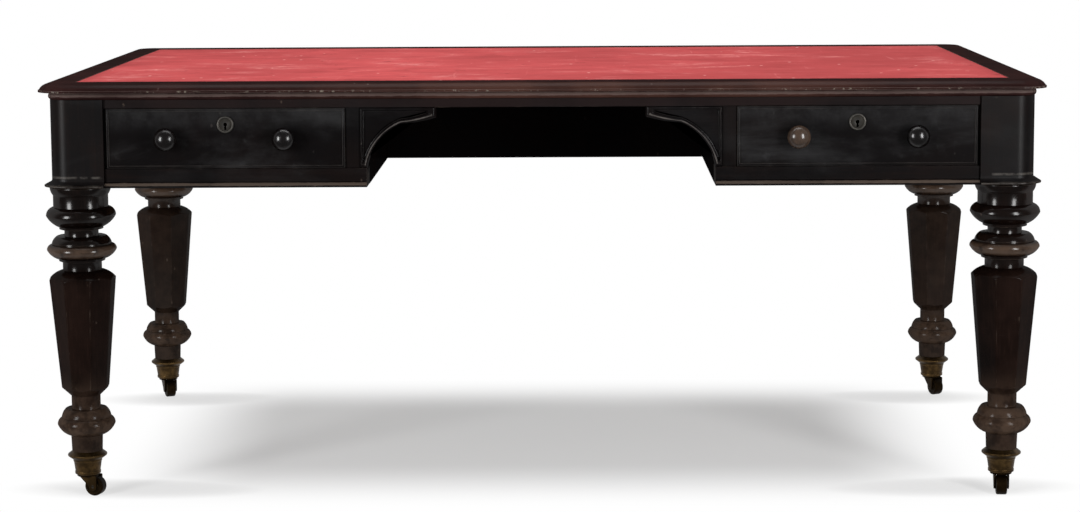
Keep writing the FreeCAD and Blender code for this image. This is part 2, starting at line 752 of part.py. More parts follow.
def make_carcase():
    """Divider along the middle, cheeks beside the kneehole, and what each drawer slides on and between."""
    keep(board("centre_divider", "-(end_rail_back)", "-(divider_face)", "rail_foot",
               "2 * end_rail_back", "divider_thickness", "top_underside - rail_foot"))
    cheek = new_body("front_right_partition")
    sketch = new_sketch(cheek, "YZ_Plane", "kneehole_edge")
    outline(sketch, [
        to("-(rail_back)", "rail_foot"),
        to("-(divider_face)", "rail_foot"),
        to("-(divider_face)", "top_underside"),
        to("-(rail_back)", "top_underside"),
        to("-(rail_back)", "top_rail_bottom"),
        to("-(bracket_back)", "top_rail_bottom"),
        to("-(bracket_back)", "bottom_rail_top"),
        to("-(rail_back)", "bottom_rail_top"),
    ])
    pad(cheek, sketch, "partition_thickness")
    group("drawer_partitions", quarters(cheek, "{}_partition").values())

    runner_low = "bottom_rail_top - runner_thickness"
    guide_top = "bottom_rail_top + guide_height"
    inner = [to("partition_back", runner_low), to("opening_inner + runner_bearing", runner_low),
             to("opening_inner + runner_bearing", "bottom_rail_top"), to("opening_inner", "bottom_rail_top"),
             to("opening_inner", guide_top), to("partition_back", guide_top)]
    outer = [to("opening_outer - runner_bearing", runner_low), to("block_inside_x", runner_low),
             to("block_inside_x", guide_top), to("opening_outer", guide_top),
             to("opening_outer", "bottom_rail_top"), to("opening_outer - runner_bearing", "bottom_rail_top")]
    group("drawer_runners", lengthwise_bars("runner", inner, outer))

    def bar(left, right):
        return [to(left, "top_rail_bottom"), to(right, "top_rail_bottom"),
                to(right, "top_underside"), to(left, "top_underside")]

    group("drawer_kickers", lengthwise_bars("kicker", bar("partition_back", "opening_inner + runner_bearing"),
                                            bar("opening_outer - runner_bearing", "block_inside_x")))
    inner_stop = board("front_right_inner_stop", "opening_middle - drawer_inside + stop_inset",
                       "-(drawer_front_back - slide_clearance)", "bottom_rail_top",
                       "stop_length", "stop_width", "stop_height")
    outer_stop = mirrored(inner_stop, "front_right_outer_stop", across_x=True, about="opening_middle")
    stops = list(quarters(inner_stop, "{}_inner_stop").values())
    group("drawer_stops", stops + list(quarters(outer_stop, "{}_outer_stop").values()))


def lengthwise_bars(name, inner, outer):
    """Bars from the back of a front rail to the divider, beside the kneehole and beside the leg."""
    bars = []
    for side, section in (("inner", inner), ("outer", outer)):
        body = new_body(f"front_right_{side}_{name}")
        sketch = new_sketch(body, "XZ_Plane", "rail_back")
        outline(sketch, section)
        pad(body, sketch, "rail_back - divider_face", reverse=True)
        bars += quarters(body, "{}_" + side + "_" + name).values()
    return bars


def dovetail(middle, slack="0"):
    """A dovetail of a drawer side, seen from the side, wider at its tip in the drawer front."""
    root, end = f"(dovetail_root / 2 + {slack})", f"(dovetail_end / 2 + {slack})"
    tip = f"-(dovetail_tip + {slack})"
    return [to("-(drawer_front_back)", f"{middle} + {root}"), to(tip, f"{middle} + {end}"),
            to(tip, f"{middle} - {end}"), to("-(drawer_front_back)", f"{middle} - {root}")]


def keyhole(sketch, z):
    """A round hole with a straight slot below it."""
    half = "keyhole_slot_width / 2"
    shoulder = f"{z} - sqrt((keyhole_diameter / 2) ^ 2 - ({half}) ^ 2)"
    foot = f"{z} - keyhole_slot_length"
    outline(sketch, [to(f"-({half})", foot), to(half, foot), to(half, shoulder),
                     round_to(f"-({half})", shoulder, centre_y=z)])


def drawer_body(label):
    """A body measured from the middle of the front right drawer opening."""
    body = new_body(label)
    place(body, x="opening_middle")
    return body


def make_drawer_front(label):
    """Cock-beaded front, dovetailed to the sides, bored for the knobs and let in for the lock."""
    body = drawer_body(label)
    face = new_sketch(body, "XZ_Plane", "drawer_face")
    rectangle(face, "-(drawer_half)", "drawer_low", "drawer_half", "drawer_high")
    pad(body, face, "drawer_front_thickness", reverse=True)
    bead = new_sketch(body, "XZ_Plane", "drawer_face")
    rectangle(bead, "-(drawer_half)", "drawer_low", "drawer_half", "drawer_high")
    inset = "drawer_half - cock_bead_width"
    rectangle(bead, f"-({inset})", "drawer_low + cock_bead_width", inset, "drawer_high - cock_bead_width")
    raised = pad(body, bead, "cock_bead_projection")
    doc.recompute()
    front_plane = "-(drawer_face + cock_bead_projection)"
    fillet(body, raised, edge_names(raised, lambda p: near(p.y, front_plane)), "cock_bead_rounding")
    holes = new_sketch(body, "XZ_Plane", "drawer_face")
    for side in ("-", ""):
        circle(holes, f"{side}(knob_spacing / 2)", "knob_z", "knob_spigot_diameter + 2 * joint_clearance")
    keyhole(holes, "keyhole_z")
    pocket(body, holes, "drawer_front_thickness")
    mortise = new_sketch(body, "XZ_Plane", "drawer_front_back")
    half = "lock_width / 2 + joint_clearance"
    rectangle(mortise, f"-({half})", "lock_low - joint_clearance", half, "drawer_high + drawer_gap")
    pocket(body, mortise, "lock_depth + joint_clearance", reverse=True)
    groove = new_sketch(body, "XZ_Plane", "drawer_front_back")
    rectangle(groove, "-(drawer_groove)", "panel_low - joint_clearance",
              "drawer_groove", "panel_high + joint_clearance")
    pocket(body, groove, "groove_depth + joint_clearance", reverse=True)
    socket = new_sketch(body, "YZ_Plane", "-(drawer_half)")
    for middle in ("lower_dovetail", "upper_dovetail"):
        outline(socket, dovetail(middle, "joint_clearance"))
    cut = pocket(body, socket, "drawer_side_thickness + joint_clearance", reverse=True)
    both = body.newObject("PartDesign::Mirrored", body.Name + "_sockets")
    both.Originals = [cut]
    both.MirrorPlane = (origin_feature(body, "YZ_Plane"), [""])
    body.Tip = both
    return body


def make_drawer_side(label):
    """Side with two dovetails at its front end and a groove for the bottom."""
    body = drawer_body(label)
    sketch = new_sketch(body, "YZ_Plane", "-(drawer_half)")
    front = "-(drawer_front_back)"
    outline(sketch, [to("-(drawer_end)", "side_low"), to("-(drawer_end)", "side_high"), to(front, "side_high")]
            + dovetail("upper_dovetail") + dovetail("lower_dovetail") + [to(front, "side_low")])
    pad(body, sketch, "drawer_side_thickness")
    groove = new_sketch(body, "YZ_Plane", "-(drawer_inside)")
    rectangle(groove, "-(drawer_face)", "panel_low - joint_clearance",
              "-(drawer_end - drawer_gap)", "panel_high + joint_clearance")
    pocket(body, groove, "groove_depth + joint_clearance")
    return body


def make_drawer_lock(label):
    """Lock case let into the back of the drawer front, with its plate screwed over it."""
    body = drawer_body(label)
    case = new_sketch(body, "XZ_Plane", "drawer_front_back")
    rectangle(case, "-(lock_width / 2)", "lock_low", "lock_width / 2", "drawer_high")
    pad(body, case, "lock_depth")
    plate = new_sketch(body, "XZ_Plane", "drawer_front_back")
    rectangle(plate, "-(lock_plate_width / 2)", "lock_low", "lock_plate_width / 2", "drawer_high")
    pad(body, plate, "lock_plate_thickness", reverse=True)
    return body


def make_knob(label):
    """Turned bun knob on a short neck, with a spigot glued into the drawer front."""
    widest = "knob_diameter / 2"
    neck = "knob_neck_diameter / 2"
    spigot = "knob_spigot_diameter / 2"
    base = "knob_base_diameter / 2"
    dome = "knob_projection - knob_widest_height"
    crown_centre = f"knob_projection - (({widest}) ^ 2 + ({dome}) ^ 2) / (2 * ({dome}))"
    body = turned(label, [
        to("0", "-drawer_front_thickness"),
        to(spigot, "-drawer_front_thickness"),
        to(spigot, "0"),
        to(base, "0"),
        to(base, "knob_base_height"),
        to(neck, "knob_neck_height"),
        round_to(widest, "knob_widest_height", centre_y="knob_widest_height"),
        round_to("0", "knob_projection", centre_y=crown_centre),
    ])
    body.Placement.Rotation = FreeCAD.Rotation(FreeCAD.Vector(1, 0, 0), 90)
    place(body, "opening_middle + knob_spacing / 2", "-(drawer_face)", "knob_z")
    return body


def make_escutcheon(label):
    """Round plate with a raised rim and a keyhole."""
    rim = "escutcheon_diameter / 2"
    dish = f"{rim} - escutcheon_rim"
    plate = "escutcheon_thickness / 2"
    body = turned(label, [
        to("0", "0"),
        to(rim, "0"),
        to(rim, plate),
        round_to(dish, plate, centre_y=plate),
        to("0", plate),
    ])
    slot = new_sketch(body, "XY_Plane")
    keyhole(slot, "0")
    pocket(body, slot, "escutcheon_thickness", reverse=True)
    body.Placement.Rotation = FreeCAD.Rotation(FreeCAD.Vector(1, 0, 0), 90)
    place(body, "opening_middle", "-(drawer_face)", "keyhole_z")
    return body


def make_drawers():
    """Four drawers, each with a front, sides, back, bottom, knobs, lock and escutcheon."""
    name = "{}_drawer_"
    first = "front_right_drawer_"
    for piece, maker in (("front", make_drawer_front), ("lock", make_drawer_lock),
                         ("escutcheon", make_escutcheon)):
        for twin in quarters(maker(first + piece), name + piece).values():
            keep(twin)
    back = board(first + "back", "opening_middle - drawer_inside", "-(drawer_end + drawer_side_thickness)",
                 "panel_high + joint_clearance", "2 * drawer_inside", "drawer_side_thickness",
                 "side_high - drawer_back_drop - panel_high - joint_clearance")
    bottom = board(first + "bottom", "opening_middle - drawer_groove", "-(drawer_front_back + groove_depth)",
                   "panel_low", "2 * drawer_groove", "drawer_front_back + groove_depth - drawer_end",
                   "drawer_bottom_thickness")
    for piece, first_piece in (("back", back), ("bottom", bottom)):
        for twin in quarters(first_piece, name + piece).values():
            keep(twin)
    for pair, piece, maker in (("sides", "side", make_drawer_side), ("knobs", "knob", make_knob)):
        one = maker(f"{first}one_{piece}")
        other = mirrored(one, f"{first}other_{piece}", across_x=True, about="opening_middle")
        ones = quarters(one, "{}_drawer_one_" + piece)
        others = quarters(other, "{}_drawer_other_" + piece)
        for corner in CORNERS:
            group(f"{corner}_drawer_{pair}", [ones[corner], others[corner]])


def make_leg(label):
    """Front right leg: block with a rounded outer corner and a collar, turnings and an eight-sided shaft."""
    body = new_body(label)
    outer = "leg_axis_inset"
    block = new_sketch(body, "XY_Plane", "frieze_bottom")
    outline(block, corner_block(outer, "block_corner_radius"))
    pad(body, block, "frieze_height")
    lip = new_sketch(body, "XY_Plane", "turning_top")
    outline(lip, corner_block(f"{outer} + collar_projection", "block_corner_radius + collar_projection"))
    collar = pad(body, lip, "collar_lip")
    doc.recompute()
    seat = edge_names(collar, lambda p: near(p.z, "frieze_bottom") and on_block_face(p))
    fillet(body, collar, seat, "collar_hollow")
    turning = new_sketch(body, "XZ_Plane")
    outline(turning, leg_profile())
    revolve(body, turning)
    flat = new_sketch(body, "XZ_Plane")
    outside = "shaft_top_flats"
    top_flat = "shaft_top_flats / 2 + shaft_taper * shoulder_height"
    foot_flat = "shaft_bottom_flats / 2 - shaft_taper * shoulder_height"
    outline(flat, [to(foot_flat, "foot_neck_top"), to(outside, "foot_neck_top"),
                   to(outside, "shoulder_top"), to(top_flat, "shoulder_top")])
    planed = pocket(body, flat, "2 * shaft_top_flats", side="Symmetric")
    flats = body.newObject("PartDesign::PolarPattern", body.Name + "_flats")
    flats.Originals = [planed]
    flats.Axis = (origin_feature(body, "Z_Axis"), [""])
    flats.Angle = 360
    flats.Occurrences = 8
    body.Tip = flats
    make_mortises(body)
    place(body, "leg_x", "-(leg_y)")
    return body


def corner_block(reach, radius):
    """Plan of the block, or of its collar: flush on the two inner sides, rounded at the outer corner."""
    return [
        to("-block_inner", f"-({reach})"),
        to(f"({reach}) - ({radius})", f"-({reach})"),
        round_to(reach, f"-(({reach}) - ({radius}))", centre_x=f"({reach}) - ({radius})"),
        to(reach, "block_inner"),
        to("-block_inner", "block_inner"),
    ]


def on_block_face(point):
    """Whether a point of the collar's upper side lies on one of the block's two outer faces or their corner."""
    inner, radius = number("block_inner"), number("block_corner_radius")
    inside = number("leg_axis_inset") - radius
    beyond = FreeCAD.Vector(max(point.x - inside, 0), max(-point.y - inside, 0), 0)
    outer = point.x > -inner + 1e-4 or point.y < inner - 1e-4
    return outer and beyond.Length < radius + 1e-4 and max(point.x, -point.y) > inside


def bowed(start_x, start_y, x, y, bow):
    """A shallow arc from a start point down to another, bowed outwards by a distance in its middle."""
    span_x, span_y = f"(({x}) - ({start_x}))", f"(({y}) - ({start_y}))"
    length = f"sqrt({span_x} ^ 2 + {span_y} ^ 2)"
    inwards = f"({length} ^ 2 / 4 - {bow} ^ 2) / (2 * {bow})"
    return round_to(x, y, centre_x=f"(({start_x}) + ({x})) / 2 + {span_y} / {length} * {inwards}", ccw=False)


def crested(top_edge, widest, foot_edge, top, crest, foot, bow):
    """A turned ring: round from its top edge out to its crest, then a bowed slope in to its foot."""
    return [to(top_edge, top), round_to(widest, crest, centre_y=crest, ccw=False),
            bowed(widest, crest, foot_edge, foot, bow)]


def leg_profile():
    """Radius and height of everything turned on the leg, from under the block to the spigot in the cup."""
    ring, neck, drum = "ring_diameter / 2", "upper_neck_diameter / 2", "drum_diameter / 2"
    quirk, ankle = "quirk_diameter / 2", "ankle_diameter / 2"
    upper_fillet, lower_fillet = "upper_fillet_diameter / 2", "lower_fillet_diameter / 2"
    waist, lower_neck = "waist_diameter / 2", "lower_neck_diameter / 2"
    ovolo_head, ovolo = "ovolo_top_diameter / 2", "ovolo_diameter / 2"
    cap_head, cap = "bulb_cap_top_diameter / 2", "bulb_cap_diameter / 2"
    foot_neck, spigot = "foot_neck_diameter / 2", "cup_socket_diameter / 2 - running_clearance"
    arris = "cos(180 deg / 8)"
    shaft_head, shaft_end = f"shaft_top_flats / 2 / {arris}", f"shaft_bottom_flats / 2 / {arris}"
    return [
        to("0", "spigot_low"),
        to("0", "turning_top"),
        to(neck, "turning_top"),
        to(neck, "drum_top"),
        to(drum, "drum_top"),
        round_to(neck, "drum_foot", centre_y="drum_top", ccw=False),
        *crested(neck, ring, "upper_ring_foot_diameter / 2",
                 "upper_ring_top", "upper_ring_crest", "upper_ring_foot", "ring_bow"),
        to(upper_fillet, "upper_ring_foot"),
        to(upper_fillet, "waist_top"),
        to(waist, "waist_top"),
        to(waist, "ovolo_top"),
        to(ovolo_head, "ovolo_top"),
        bowed(ovolo_head, "ovolo_top", ovolo, "ovolo_foot", "ovolo_bow"),
        to(quirk, "ovolo_foot"),
        *crested(quirk, ring, "lower_ring_foot_diameter / 2",
                 "lower_ring_top", "lower_ring_crest", "lower_ring_foot", "ring_bow"),
        to(lower_fillet, "lower_ring_foot"),
        to(lower_fillet, "lower_neck_top"),
        to(lower_neck, "lower_neck_top"),
        to(lower_neck, "shoulder_top"),
        bowed(lower_neck, "shoulder_top", shaft_head, "shaft_top", "shoulder_bow"),
        to(shaft_end, "shaft_bottom"),
        to(foot_neck, "foot_neck_top"),
        to(foot_neck, "bulb_cap_top"),
        to(cap_head, "bulb_cap_top"),
        bowed(cap_head, "bulb_cap_top", cap, "bulb_top", "bulb_cap_bow"),
        *crested("bulb_top_diameter / 2", "bulb_diameter / 2", "bulb_edge_diameter / 2",
                 "bulb_top", "bulb_crest", "ankle_top", "bulb_bow"),
        to(ankle, "cup_top"),
        to(spigot, "cup_top"),
        to(spigot, "spigot_low"),
    ]


def make_mortises(body):
    """Mortises for the top and bottom rails in one inner side of the block, for the end rail in the other."""
    slack = "joint_clearance"
    rails = new_sketch(body, "YZ_Plane", "-block_inner")
    front, back = f"leg_y - rail_tenon_front - {slack}", f"leg_y - rail_tenon_back + {slack}"
    for low, high in (("top_tenon_low", "top_tenon_high"), ("bottom_tenon_low", "bottom_tenon_high")):
        rectangle(rails, front, f"{low} - {slack}", back, f"{high} + {slack}")
    pocket(body, rails, f"tenon_length + {slack}", reverse=True)
    end_rail = new_sketch(body, "XZ_Plane", "-block_inner")
    middle = "end_rail_middle - leg_x"
    half = f"(end_tenon_thickness / 2 + {slack})"
    rectangle(end_rail, f"{middle} - {half}", f"end_tenon_low - {slack}",
              f"{middle} + {half}", f"end_tenon_high + {slack}")
    pocket(body, end_rail, f"tenon_length + {slack}", reverse=True)


def make_legs():
    for leg in quarters(make_leg("leg_front_right"), "leg_{}").values():
        keep(leg)


def caster_cup(label):
    """Brass cup on the leg's spigot, with a moulded flange and a bored base for the pivot."""
    socket = "cup_socket_diameter / 2"
    bore = "pivot_diameter / 2 + running_clearance"
    edge = "flange_edge_diameter / 2"
    body = turned(label, [
        to(bore, "cup_base"),
        to("cup_bottom_diameter / 2", "cup_base"),
        to("cup_top_diameter / 2", "cup_rim"),
        to(edge, "cup_rim"),
        to("flange_diameter / 2", "flange_low"),
        to("flange_diameter / 2", "flange_high"),
        to(edge, "cup_top"),
        to(socket, "cup_top"),
        to(socket, "cup_floor"),
        to(bore, "cup_floor"),
    ])
    place(body, "leg_x", "-(leg_y)")
    return body


def caster_fork(label):
    """Fork with its swivel disc, and a pivot that is headed over inside the cup."""
    pivot = "pivot_diameter / 2"
    head = "pivot_head_diameter / 2"
    disc = "fork_disc_diameter / 2"
    body = turned(label, [
        to("0", "fork_inside"),
        to(disc, "fork_inside"),
        to(disc, "fork_top"),
        to(pivot, "fork_top"),
        to(pivot, "pivot_head_low"),
        to(head, "pivot_head_low"),
        to(head, "pivot_head_high"),
        to("0", "pivot_head_high"),
    ])
    cheek = new_sketch(body, "XZ_Plane")
    eye = "fork_eye_diameter / 2"
    outline(cheek, [
        to("-fork_throat", "fork_inside"),
        to(f"caster_trail - {eye}", "wheel_radius"),
        round_to(f"caster_trail + {eye}", "wheel_radius", centre_y="wheel_radius"),
        to(f"caster_trail + {eye}", "fork_inside + fork_disc_thickness / 2"),
        to("-fork_throat", "fork_inside + fork_disc_thickness / 2"),
    ])
    pad(body, cheek, "fork_width", side="Symmetric")
    slot = new_sketch(body, "XZ_Plane")
    reach = "fork_disc_diameter"
    rectangle(slot, f"-({reach})", "-wheel_gap", reach, "fork_inside")
    pocket(body, slot, "fork_slot", side="Symmetric")
    hole = new_sketch(body, "XZ_Plane")
    circle(hole, "caster_trail", "wheel_radius", "axle_diameter + 2 * fixed_clearance")
    pocket(body, hole, "2 * fork_width", side="Symmetric")
    return body


def caster_axle(label):
    """Plain axle through both cheeks of the fork."""
    body = new_body(label)
    sketch = new_sketch(body, "XZ_Plane")
    circle(sketch, "caster_trail", "wheel_radius", "axle_diameter")
    pad(body, sketch, "fork_width", side="Symmetric")
    return body


def caster_wheel(label):
    """Solid wheel with rounded tread corners, turned about its axle."""
    body = new_body(label)
    rim = new_sketch(body, "XZ_Plane")
    circle(rim, "caster_trail", "wheel_radius", "wheel_diameter")
    circle(rim, "caster_trail", "wheel_radius", "axle_diameter + 2 * running_clearance")
    tread = pad(body, rim, "wheel_width", side="Symmetric")
    doc.recompute()
    radius = number("wheel_radius")

    def on_tread(name):
        curve = tread.Shape.getElement(name).Curve
        return isinstance(curve, Part.Circle) and abs(curve.Radius - radius) < 1e-4

    ends = [name for name in edge_names(tread, lambda p: True) if on_tread(name)]
    fillet(body, tread, ends, "wheel_rounding")
    return body


def make_casters():
    """Four casters, each turned about its leg to the way it trails at rest."""
    cups = quarters(caster_cup("front_right_cup"), "{}_cup")
    group("caster_cups", cups.values())
    for corner, (side_x, side_y) in CORNERS.items():
        for piece, maker in (("fork", caster_fork), ("axle", caster_axle), ("wheel", caster_wheel)):
            body = maker(f"caster_{piece}_{corner}")
            body.Placement.Rotation = FreeCAD.Rotation(FreeCAD.Vector(0, 0, 1), 1)
            bind(body, Placement__Rotation__Angle=f"{corner}_yaw")
            place(body, f"{side_x} * leg_x", f"{side_y} * leg_y")
            keep(body)


def check_document():
    """Stop unless every object recomputed and every piece is a valid solid or group of solids."""
    doc.recompute()
    faults = [thing.Label for thing in doc.Objects if {"Invalid", "Error"} & set(thing.State)]
    faults += [node.Label for node in nodes if node.Shape.isNull() or not node.Shape.isValid()]
    faults += [node.Label for node in nodes if not node.Shape.isNull() and not node.Shape.Solids]
    if faults:
        raise RuntimeError("these objects failed: " + ", ".join(faults))


make_top()
make_rails()
make_uprights()
make_brackets()
make_carcase()
make_drawers()
make_legs()
make_casters()
check_document()
os.makedirs("parts", exist_ok=True)
for node in nodes:
    node.Shape.exportStep(f"parts/{node.Label}.step")
print(len(nodes), "nodes")
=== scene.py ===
"""Writing table: the looks of its pieces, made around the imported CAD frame.

Lengths are in metres in the table's own frame: +X to the right, +Y to the back, +Z up, the origin on the
floor under the middle of the top. Profiles and section drawings are in millimetres and are scaled once.
"""

import math
import bpy
import numpy as np
from bpy.props import FloatProperty, FloatVectorProperty, PointerProperty
from mathutils import Matrix


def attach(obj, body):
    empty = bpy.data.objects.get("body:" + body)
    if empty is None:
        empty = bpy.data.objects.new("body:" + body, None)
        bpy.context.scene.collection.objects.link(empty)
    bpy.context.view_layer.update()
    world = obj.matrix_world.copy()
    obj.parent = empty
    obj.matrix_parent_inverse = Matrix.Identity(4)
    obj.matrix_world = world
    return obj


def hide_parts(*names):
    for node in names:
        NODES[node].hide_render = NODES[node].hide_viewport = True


bl_info = {
    "name": "Writing table",
    "version": (1, 0, 0),
    "blender": (4, 5, 0),
    "location": "3D View > Sidebar > Writing Table",
    "description": "Ebonised partners' writing table with a leather top, drawers and turned legs on casters",
    "category": "Object",
}

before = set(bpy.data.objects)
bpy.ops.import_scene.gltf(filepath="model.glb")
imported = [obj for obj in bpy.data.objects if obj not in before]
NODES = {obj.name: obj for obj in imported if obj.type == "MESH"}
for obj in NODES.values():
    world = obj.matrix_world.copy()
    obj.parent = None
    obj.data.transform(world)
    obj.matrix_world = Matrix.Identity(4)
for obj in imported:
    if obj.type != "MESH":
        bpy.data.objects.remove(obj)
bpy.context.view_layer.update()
MM = 0.001

# Corners of the table, as signs of x and y
CORNERS = {"front_left": (-1, -1), "front_right": (1, -1), "back_left": (-1, 1), "back_right": (1, 1)}
# Way each caster trails at rest, in degrees about the vertical from +X
TRAILS = {"front_left": -15, "front_right": -95, "back_left": -68, "back_right": -65}

# Millimetres
LEG_X, LEG_Y = 847, 467
BLOCK_OUTER, BLOCK_INNER, BLOCK_CORNER = 48, 53, 35
HALF_LENGTH, HALF_DEPTH, TOP_CORNER = 915, 535, 48
BORDER_WIDTH = 65
LEATHER_X, LEATHER_Y = HALF_LENGTH - BORDER_WIDTH, HALF_DEPTH - BORDER_WIDTH
TABLE_HEIGHT, TOP_UNDERSIDE = 770, 740
BLOCK_FOOT, RAIL_FOOT, BOTTOM_RAIL_TOP, TOP_RAIL_BOTTOM = 584, 579, 614, 724
RAIL_FACE, RAIL_BACK, BRACKET_BACK = 510, 450, 485
BLOCK_INSIDE_X, BLOCK_INSIDE_Y = 794, 414
KNEEHOLE_EDGE, BRACKET_SIDE, BRACKET_TIP, BRACKET_CUSP = 316, 328, 190, 254
OPENING_INNER, OPENING_OUTER, OPENING_MIDDLE = 354.5, 789.5, 572.0
STILE_FACE, STRIP_FACE = 507, 504
END_RAIL_FACE, END_RAIL_BACK = 890, 868
DRAWER_HALF, DRAWER_LOW, DRAWER_HIGH, DRAWER_FACE, DRAWER_BACK = 216.7, 614.8, 723.2, 509, 489
KNOB_Z, KEYHOLE_Z, KNOB_REACH = 669, 694.2, 107
AXLE_TRAIL, WHEEL_RADIUS = 15, 18
# Radius of the bead along the foot of a rail
RAIL_BEAD = 5.5
# Points along the two curves of a bracket's outline
ARCH_POINTS, LOBE_POINTS = 26, 16
# Edge of the border: reach of its ovolo, quirk, top and worn line of its nose, top and middle of its bead
OVOLO_END, QUIRK, NOSE_TOP, NOSE_LINE, BEAD_TOP, BEAD_MIDDLE = 21.5, 1.5, 758, 755.5, 754, 25
# Eight-sided shaft: heights of its ends, ends of the slopes beyond them, distances of its flats from the axis
SHAFT_TOP, SHAFT_FOOT, SLOPE_TOP, SLOPE_FOOT, FLAT_TOP, FLAT_FOOT = 407, 206, 424, 189, 57.25, 41
# Share of wear on the frieze's plain arrises
ARRIS_WEAR = 0.45
# Degrees between two faces beyond which their edge is kept sharp
SHARP_EDGE = 38
# Worn wood of the drawers and brackets, and of the border's edge; on the brackets' and the border's beads it
# also paints a highlight
GREY_WEAR_AND_HIGHLIGHT, EDGE_WEAR_AND_HIGHLIGHT = (0.070, 0.063, 0.058), (0.112, 0.080, 0.072)
# Camera: place in metres, turns in radians, shift as a share of the frame's width
CAMERA_PLACE, CAMERA_SHIFT = (0.0704, -5.1044, 1.1193), -0.0574
PITCH, YAW, ROLL = 0.12, 0.0158, -0.0060
# Lamps: width and height, place and the point that each looks at, in metres
LAMPS = {"overhead": (2.6, 1.7, (0.0, 0.05, 3.1), (0.0, 0.0, 0.0)),
         "left_lamp": (0.95, 1.80, (-3.1, -3.3, 1.15), (0.0, -0.3, 0.6)),
         "right_lamp": (0.66, 1.70, (2.1, -2.9, 1.15), (0.0, -0.3, 0.6))}


# Settings a user would change

def colour_setting(name, description, default):
    return FloatVectorProperty(name=name, description=description, subtype="COLOR", default=default,
                               min=0, max=1)


def amount_setting(name, description, default, **kind):
    return FloatProperty(name=name, description=description, default=default, min=0, **kind)


class TableFinish(bpy.types.PropertyGroup):
    """Colours and wear of the table."""
    black: colour_setting(
        "Black stain", "Colour of the ebonised frieze", (0.0034, 0.0029, 0.0031))
    brown: colour_setting(
        "Brown under the stain", "Wood that shows through on the legs", (0.0240, 0.0125, 0.0095))
    red_brown: colour_setting(
        "Red brown", "Stain of the border round the leather", (0.0132, 0.0054, 0.0050))
    # Also the colour of the painted highlight along the frieze rails' beads
    worn: colour_setting(
        "Worn arris", "Wood where the stain has rubbed off", (0.100, 0.075, 0.059))
    # Colour of the bluish bloom in the old polish, also used as painted sheen on the ebonised wood and along
    # the tops of the drawer fronts
    bloom_and_sheen: colour_setting(
        "Haze", "Bluish bloom in the old polish", (0.0250, 0.0248, 0.0255))
    # Also mixed in as a painted highlight on the legs' second ring and as painted light on the back pair of
    # legs
    dust_and_painted_light: colour_setting(
        "Dust", "Grey brown of the legs' feet and the browner knob", (0.066, 0.042, 0.029))
    leather: colour_setting(
        "Leather", "Main colour of the writing leather", (0.500, 0.082, 0.084))
    scuff: colour_setting(
        "Leather scuff", "Pale rubbed marks on the leather", (0.70, 0.235, 0.225))
    brass: colour_setting(
        "Brass", "Bright brass where it is rubbed", (0.150, 0.090, 0.034))
    tarnish: colour_setting(
        "Tarnish", "Dark film on the brass", (0.027, 0.0165, 0.0075))
    wear: amount_setting("Wear", "How far the arrises are rubbed", 0.75, subtype="FACTOR", max=1)


class TableSizes(bpy.types.PropertyGroup):
    """Small sizes of the visible pieces."""
    arris: amount_setting("Arris", "Rounding of the rails' edges", 0.0009, unit="LENGTH")
    bead_swell: amount_setting(
        "Bracket bead", "How far the bracket's bead stands out of its face", 0.0016, unit="LENGTH")
    leather_wave: amount_setting(
        "Leather unevenness", "Height of the slow waves in the glued leather", 0.0002, unit="LENGTH")


class StageSettings(bpy.types.PropertyGroup):
    """Floor, lamps and camera."""
    floor: colour_setting("Floor", "Colour of the floor", (0.62, 0.62, 0.62))
    floor_lift: amount_setting(
        "Floor lift", "How much lighter the camera sees the floor than it is lit", 0.325)
    sky: amount_setting("Sky", "Even light from all around", 0.20)
    room: amount_setting("Room", "Reflected light of the room in front of the table", 0.15)
    overhead: amount_setting("Overhead lamp", "Power of the lamp above", 66, unit="POWER")
    left_lamp: amount_setting("Left lamp", "Power of the front left lamp", 112, unit="POWER")
    right_lamp: amount_setting("Right lamp", "Power of the front right lamp", 70, unit="POWER")
    lens: amount_setting("Lens", "Focal length of the camera", 85.01, unit="CAMERA")


def settings():
    return bpy.context.scene.writing_table


# Surfaces

def points_of(*axes):
    """Points from their coordinates, each spread over the others' rows and columns."""
    return np.stack(np.broadcast_arrays(*axes), axis=-1)


def lifted(plan, heights):
    """Rows of points in plan, each row set at its height."""
    return points_of(plan[..., 0], plan[..., 1], heights[:, None])


def round_angles(count):
    """Even angles round a full turn, in radians."""
    return np.linspace(0, 2 * np.pi, count, endpoint=False)


def ring_points(radius, angle, height):
    """Points round the vertical axis: the radius times cosine and sine of the angle, at the height."""
    return points_of(radius * np.cos(angle), radius * np.sin(angle), height)


def quads(rows, columns, close_rows):
    """Corner numbers of a grid's four-sided faces; each row is a ring, and the rows may close too."""
    row = np.arange(rows if close_rows else rows - 1)[:, None]
    column = np.arange(columns)[None, :]
    next_row, next_column = (row + 1) % rows, (column + 1) % columns
    corners = [row * columns + column, row * columns + next_column,
               next_row * columns + next_column, next_row * columns + column]
    return points_of(*corners).reshape(-1, 4)


def placed(name, data):
    """An object of that name in the scene."""
    thing = bpy.data.objects.new(name, data)
    bpy.context.scene.collection.objects.link(thing)
    return thing


